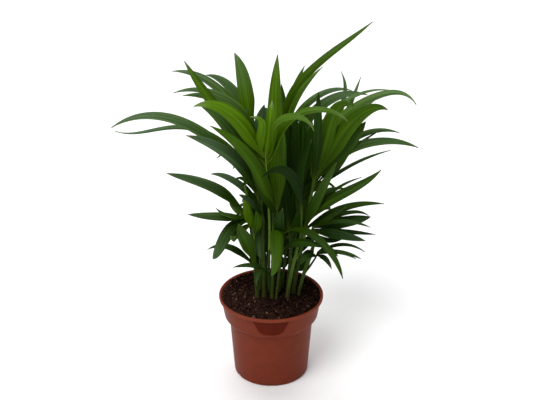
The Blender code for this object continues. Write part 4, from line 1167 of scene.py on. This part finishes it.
class PALM_OT_compost(Operator):
    """Builds the compost: P(r, a) = (r cos a, r sin a, level + noise of 7 mm, 2.5 mm and 1 mm cells),
    with loose crumbs strewn over it"""

    bl_idname = "palm.compost"
    bl_label = "Compost"

    def execute(self, context):
        s = context.scene.palm.soil
        rng = np.random.default_rng(SEED + 2)
        level = s.level / MM
        rise = s.unevenness / MM
        material = soil_material()
        rings, sides = 110, 260
        radius = np.linspace(0.02, 1.0, rings)[:, None] * s.radius / MM
        angles = np.arange(sides)[None, :] * 2.0 * math.pi / sides
        x = radius * np.cos(angles)
        y = radius * np.sin(angles)
        z = level + rise * (0.8 * value_noise(x, y, 9.0, rng) + 0.6 * value_noise(x, y, 3.0, rng)
                            + 0.6 * value_noise(x, y, 1.2, rng))
        z += edge_rise(radius)
        z[-1] -= 2.5
        shade = np.clip(0.5 + 0.5 * value_noise(x, y, 2.0, rng), 0.0, 1.0)
        # Compost darker to one side: partly damp, partly painted shade
        tints = mixed(SOIL_TINTS[2], SOIL_TINTS[1], shade) * dryness_and_light(x, y)[..., None]
        centre = end_quads(0, sides, False)
        parts = Parts()
        parts.add(np.stack([x, y, z], -1).reshape(-1, 3), np.concatenate([ring_quads(rings, sides), centre]),
                  tints.reshape(-1, 3), np.stack([x, y], -1).reshape(-1, 2) / 100.0)
        made = parts.build("compost_bed", material)
        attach(made, "root")
        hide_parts("compost")
        self.strew(s, level, rise, rng, material)
        return {"FINISHED"}

    def strew(self, s, level, rise, rng, material):
        """Crumbs of four tints, evenly dealt over the bed, each squashed and turned its own way."""
        shape, faces = crumb_shape()
        parts = Parts()
        kinds = rng.choice(len(SOIL_TINTS), s.crumbs, p=SOIL_SHARES)
        for kind in kinds:
            far = math.sqrt(rng.uniform()) * (s.radius / MM - 0.9)
            angle = rng.uniform(0.0, 2.0 * math.pi)
            size = s.crumb_size / MM * rng.lognormal(0.0, 0.46)
            size = min(size, 2.7)
            turn, _ = np.linalg.qr(rng.normal(size=(3, 3)))
            lump = shape * size * rng.uniform(0.75, 1.25, (len(shape), 1)) * np.array([1.3, 0.9, 0.8])
            place = (far * math.cos(angle), far * math.sin(angle),
                     level + edge_rise(far) + rise * 0.4 + size * 0.15)
            # Crumbs darker on the damp, shaded side: partly damp, partly painted shade
            tint = np.array(SOIL_TINTS[kind]) * rng.uniform(0.7, 1.35) * dryness_and_light(place[0], place[1])
            parts.add(lump @ turn + place, faces, np.broadcast_to(tint, (len(shape), 3)),
                      np.zeros((len(shape), 2)))
        made = parts.build("compost_crumbs", material)
        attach(made, "root")


# Stalks

class PALM_OT_stems(Operator):
    """Builds the stems: P(s, a) = line(s) + r(s) (1 + 0.03 cos 7a)(cos a first + sin a second), where
    r has a raised ring at each old leaf's scar"""

    bl_idname = "palm.stems"
    bl_label = "Stems"

    def execute(self, context):
        s = context.scene.palm.stalk
        stems, fronds = grow()
        rng = np.random.default_rng(SEED + 3)
        parts = Parts()
        angles = np.arange(s.sides) * 2.0 * math.pi / s.sides
        for name, (line, radii) in stems.items():
            reach, fine, width = smooth_line(line, radii, s.rings)
            fine[0, 2] -= 1.2
            spacing = s.node_spacing / MM * rng.uniform(0.8, 1.3)
            places = np.arange(spacing * rng.uniform(0.3, 0.8), reach[-1] - 4.0, spacing)
            width = width * (1.0 + s.node_rise * bumps(reach, places, 0.9))
            ribbed = width[:, None] * (1.0 + 0.03 * np.cos(7.0 * angles + rng.uniform(0.0, 6.0)))
            share = np.clip(reach / reach[-1], 0.0, 1.0)
            tints = mixed(STEM_LOW_TINT, STEM_HIGH_TINT, share) * rng.uniform(0.8, 1.2)
            # Painted light: brighter towards the stem's top
            tints = tints * (1.0 + (STEM_TOPS_PAINTED_LIGHT.get(name, STEM_TOP_PAINTED_LIGHT_USUAL) - 1.0) * share[:, None])
            tints = mixed(tints, STEM_FOOT_TINT, 0.75 * np.exp(-reach / 7.0))
            tints = mixed(tints, STEM_FOOT_TINT, 0.45 * np.clip(bumps(reach, places, 0.8), 0.0, 1.0))
            add_stalk(parts, fine, ribbed, s.sides, tints, reach)
        made = parts.build("stalk_stems", stem_material(s, "stem_skin"))
        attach(made, "root")
        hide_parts(*("stem_" + name for name in stems))
        return {"FINISHED"}


class PALM_OT_petioles(Operator):
    """Builds the petioles and ribs: P(s, a) = line(s) + r(s, a)(cos a first + sin a second), where r
    swells to a sheath at the foot and is hollowed on the upper side"""

    bl_idname = "palm.petioles"
    bl_label = "Petioles and ribs"

    def execute(self, context):
        s = context.scene.palm.stalk
        stems, fronds = grow()
        rng = np.random.default_rng(SEED + 4)
        parts = Parts()
        sheath = s.sheath / MM
        for name, stem, leads, path, front, kept in fronds:
            steps, line = bent(path, 44)
            stem_top, top_radius = stems[stem][0][-1], stems[stem][1][-1]
            if leads:
                foot = stem_top - unit(path[0] - stem_top + np.array([0.0, 0.0, 1e-3])) * 3.0
                line = np.vstack([foot, line])
                steps = np.concatenate([[0.0], steps])
            else:
                height = max(path[0][2] - sheath, stems[stem][0][0][2] + 1.0)
                axis = [np.interp(height, stems[stem][0][:, 2], stems[stem][0][:, k]) for k in (0, 1)]
                low = np.array([axis[0], axis[1], height])
                level = [np.interp(path[0][2], stems[stem][0][:, 2], stems[stem][0][:, k]) for k in (0, 1)]
                middle = 0.5 * (low + path[0]) + 0.35 * (np.array([*level, path[0][2]]) - path[0])
                line = np.vstack([low, middle, line])
                steps = np.concatenate([[0.0, 0.0], steps])
            length = np.linalg.norm(np.diff(line, axis=0), axis=1).sum()
            reach, line, steps = smooth_line(line, steps, 2 + int(length / 2.0))
            radii = PETIOLE_RADIUS + (RIB_END_RADIUS - PETIOLE_RADIUS) * steps
            if leads:
                radii = np.maximum(radii, radii + (top_radius * 1.06 - radii) * np.exp(-reach / 9.0))
            angles = np.arange(12) * 2.0 * math.pi / 12
            hollow = 1.0 - 0.16 * np.clip(np.cos(angles + math.pi / 2.0), 0.0, 1.0) ** 3
            tone = np.mean([leaflet[3] for leaflet in kept])
            # Painted light and shade from the leaflets' tone, and painted light on some petioles
            tint = mixed(PETIOLE_DARK_TINT, PETIOLE_BRIGHT_TINT, np.array([tone ** 2])) * rng.uniform(0.75, 1.25)
            tint *= PETIOLE_PAINTED_LIGHT.get(name, 1.0)
            tints = mixed(tint, green(0.8 * tone), 0.5 * steps)
            add_stalk(parts, line, radii[:, None] * hollow, 12, tints, reach)
        made = parts.build("stalk_petioles", stem_material(s, "petiole_skin"))
        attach(made, "root")
        return {"FINISHED"}


# Leaflets

def add_leaflet(parts, s, way, width, facing, front, tone, sheen_share, rng):
    """One thin leaflet. Across it, t runs from -1 to 1, and along it, u from 0 to 1:
    P = line(u) + half(u) t across + out (-fold half |t|^1.3 + pleats + ripple) +- thickness / 2."""
    steps, line = through(way, s.rings)
    along, across, out = blade_frame(line, facing, front)
    half = blade_width(steps, width)[:, None] / 2.0
    count = s.across
    t = np.linspace(-1.0, 1.0, count)[None, :]
    opening = np.clip(1.15 - 0.5 * steps[:, None], 0.0, 1.0)
    drop = -s.fold * half * opening * (np.abs(t) ** 1.3 - 0.35)
    pleat = s.pleat_depth / MM * np.cos(2.0 * math.pi * s.pleats * t) * (1.0 - np.abs(t) ** 5)
    pleat = pleat * np.clip(half / 3.0, 0.0, 1.0)
    phase = rng.uniform(0.0, 2.0 * math.pi)
    waves = rng.uniform(1.5, 3.5)
    ripple = s.ripple * half * np.sin(2.0 * math.pi * waves * steps[:, None] + phase * np.sign(t)) * t * t
    upper = drop + pleat + ripple
    thick = s.thickness / MM * (1.0 + 0.8 * np.exp(-(t / 0.12) ** 2)) * np.ones_like(half)
    sides = across[:, None] * (half * t)[..., None]
    top = line[:, None] + sides + out[:, None] * upper[..., None]
    under = line[:, None] + sides + out[:, None] * (upper - thick)[..., None]
    rings = np.concatenate([top, under[:, ::-1]], 1)
    size = 2 * count
    quads = [ring_quads(s.rings, size), end_quads(0, size, False), end_quads((s.rings - 1) * size, size, True)]
    tint = green(np.clip(tone + rng.uniform(-0.04, 0.04), 0.0, 1.0))
    # Painted shade at the base of the leaflet, painted light towards its tip
    tints = tint * (LEAF_BASE_PAINTED_SHADE + (LEAF_TIP_PAINTED_LIGHT - LEAF_BASE_PAINTED_SHADE) * steps)[:, None, None] * np.ones((1, size, 1))
    # Painted sheen towards the tip
    tints = mixed(tints, PAINTED_SHEEN_GREEN, (sheen_share * np.clip((steps - 0.3) / 0.5, 0.0, 1.0))[:, None] * np.ones((1, size)))
    tints = mixed(tints, LEAF_BASE_TINT, (0.45 * np.exp(-steps / 0.06))[:, None] * np.ones((1, size)))
    tints = mixed(tints, BRIGHT_TIP_TINT, (0.8 * tone ** 3 * np.clip((steps - 0.86) / 0.14, 0.0, 1.0))[:, None]
                  * np.ones((1, size)))
    dry = rng.uniform(0.15, 0.6) if rng.uniform() < 0.5 else 0.0
    tints = mixed(tints, LEAF_TIP_TINT, (dry * np.clip((steps - 0.955) / 0.045, 0.0, 1.0))[:, None]
                  * np.ones((1, size)))
    middle = np.concatenate([t, t[:, ::-1]], 1)
    tints = tints * (1.0 + 0.22 * np.exp(-(middle / 0.10) ** 2))[..., None]
    length = np.linalg.norm(np.diff(line, axis=0), axis=1).sum()
    u = np.concatenate([t, t[:, ::-1]], 1) * 0.5 * half.max() / 6.0 + rng.uniform(0.0, 50.0)
    places = np.stack(np.broadcast_arrays(u, steps[:, None] * length / 100.0), -1)
    parts.add(rings.reshape(-1, 3), np.concatenate(quads), tints.reshape(-1, 3), places.reshape(-1, 2))


class PALM_OT_leaflets(Operator):
    """Builds the leaflets of every frond, joined into pieces that each stand for whole fronds"""

    bl_idname = "palm.leaflets"
    bl_label = "Leaflets"

    def execute(self, context):
        s = context.scene.palm.leaf
        stems, fronds = grow()
        rng = np.random.default_rng(SEED + 5)
        material = leaf_material(s)
        groups = [Parts()]
        for name, stem, leads, path, front, kept in fronds:
            if groups[-1].triangles() > PIECE_TRIANGLES - 8 * 2 * 2 * s.rings * s.across:
                groups.append(Parts())
            groups[-1].nodes.append("frond_" + name)
            sheen_share = PAINTED_SHEEN_SHARES.get(name, PAINTED_SHEEN_USUAL)
            for number, (way, width, facing, tone) in enumerate(kept):
                share = PAINTED_SHEEN_LEAFLETS.get((name, number), sheen_share)
                add_leaflet(groups[-1], s, way, width, facing, front, tone, share, rng)
        for number, parts in enumerate(groups):
            made = parts.build(f"leaflets_{number + 1}", material)
            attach(made, "root")
            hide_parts(*parts.nodes)
        return {"FINISHED"}


# Stage

def sun_light(name, bearing, climb, strength, spread):
    """Even soft light from a bearing, measured from +X, and a height in degrees."""
    data = bpy.data.lights.new(name, "SUN")
    data.energy = strength
    data.angle = math.radians(spread)
    made = bpy.data.objects.new(name, data)
    bpy.context.scene.collection.objects.link(made)
    made.rotation_euler = (math.radians(90.0 - climb), 0.0, math.radians(bearing + 90.0))
    return made


class PALM_OT_stage(Operator):
    """Builds the plain floor, the soft lights, the world and the camera"""

    bl_idname = "palm.stage"
    bl_label = "Stage"

    def execute(self, context):
        s = context.scene.palm.stage
        scene = context.scene
        half = s.floor_size / 2.0
        mesh = bpy.data.meshes.new("floor")
        corners = [(-half, -half, 0.0), (half, -half, 0.0), (half, half, 0.0), (-half, half, 0.0)]
        mesh.from_pydata(corners, [], [(0, 1, 2, 3)])
        floor = bpy.data.objects.new("floor", mesh)
        scene.collection.objects.link(floor)
        look, tree, shader = new_material("floor", 0.9, 0.1)
        shader.inputs["Base Color"].default_value = (*s.floor_colour, 1.0)
        mesh.materials.append(look)
        world = bpy.data.worlds.new("studio")
        world.use_nodes = True
        tree = world.node_tree
        light = tree.nodes["Background"]
        light.inputs["Color"].default_value = (1.0, 1.0, 1.0, 1.0)
        light.inputs["Strength"].default_value = s.world_light
        backdrop = tree.nodes.new("ShaderNodeBackground")
        backdrop.inputs["Strength"].default_value = s.backdrop
        rays = tree.nodes.new("ShaderNodeLightPath")
        both = tree.nodes.new("ShaderNodeMixShader")
        tree.links.new(rays.outputs["Is Camera Ray"], both.inputs["Fac"])
        tree.links.new(light.outputs["Background"], both.inputs[1])
        tree.links.new(backdrop.outputs["Background"], both.inputs[2])
        tree.links.new(both.outputs["Shader"], tree.nodes["World Output"].inputs["Surface"])
        scene.world = world
        sun_light("key", -125.0, 56.0, s.key_strength, 34.0)
        sun_light("fill", -20.0, 35.0, s.fill_strength, 50.0)
        sun_light("back", 95.0, 62.0, s.back_strength, 60.0)
        data = bpy.data.cameras.new("camera")
        data.lens = s.lens
        data.sensor_width = 36.0
        data.clip_start = 0.05
        data.clip_end = 50.0
        camera = bpy.data.objects.new("camera", data)
        scene.collection.objects.link(camera)
        camera.location = s.camera_place
        camera.rotation_euler = (s.camera_pitch, 0.0, 0.0)
        scene.camera = camera
        scene.view_settings.view_transform = "Standard"
        return {"FINISHED"}


class PALM_PT_panel(Panel):
    """Lists the settings and the steps that build the plant"""

    bl_label = "Potted areca palm"
    bl_idname = "PALM_PT_panel"
    bl_space_type = "VIEW_3D"
    bl_region_type = "UI"
    bl_category = "Palm"

    def draw(self, context):
        palm = context.scene.palm
        for group, title, step in GROUPS:
            box = self.layout.box()
            box.label(text=title)
            settings = getattr(palm, group)
            for name in settings.__annotations__:
                box.prop(settings, name)
            for each in step:
                box.operator(each.bl_idname)


GROUPS = (
    ("pot", "Pot", (PALM_OT_pot,)),
    ("soil", "Compost", (PALM_OT_compost,)),
    ("stalk", "Stalks", (PALM_OT_stems, PALM_OT_petioles)),
    ("leaf", "Leaflets", (PALM_OT_leaflets,)),
    ("stage", "Stage", (PALM_OT_stage,)),
)
CLASSES = (
    PotSettings, SoilSettings, StalkSettings, LeafSettings, StageSettings, PalmSettings,
    PALM_OT_pot, PALM_OT_compost, PALM_OT_stems, PALM_OT_petioles, PALM_OT_leaflets, PALM_OT_stage,
    PALM_PT_panel,
)


def register():
    for each in CLASSES:
        bpy.utils.register_class(each)
    bpy.types.Scene.palm = PointerProperty(type=PalmSettings)


def unregister():
    del bpy.types.Scene.palm
    for each in reversed(CLASSES):
        bpy.utils.unregister_class(each)


def main():
    register()
    bpy.ops.palm.pot()
    bpy.ops.palm.compost()
    bpy.ops.palm.stems()
    bpy.ops.palm.petioles()
    bpy.ops.palm.leaflets()
    bpy.ops.palm.stage()


if __name__ == "__main__":
    main()
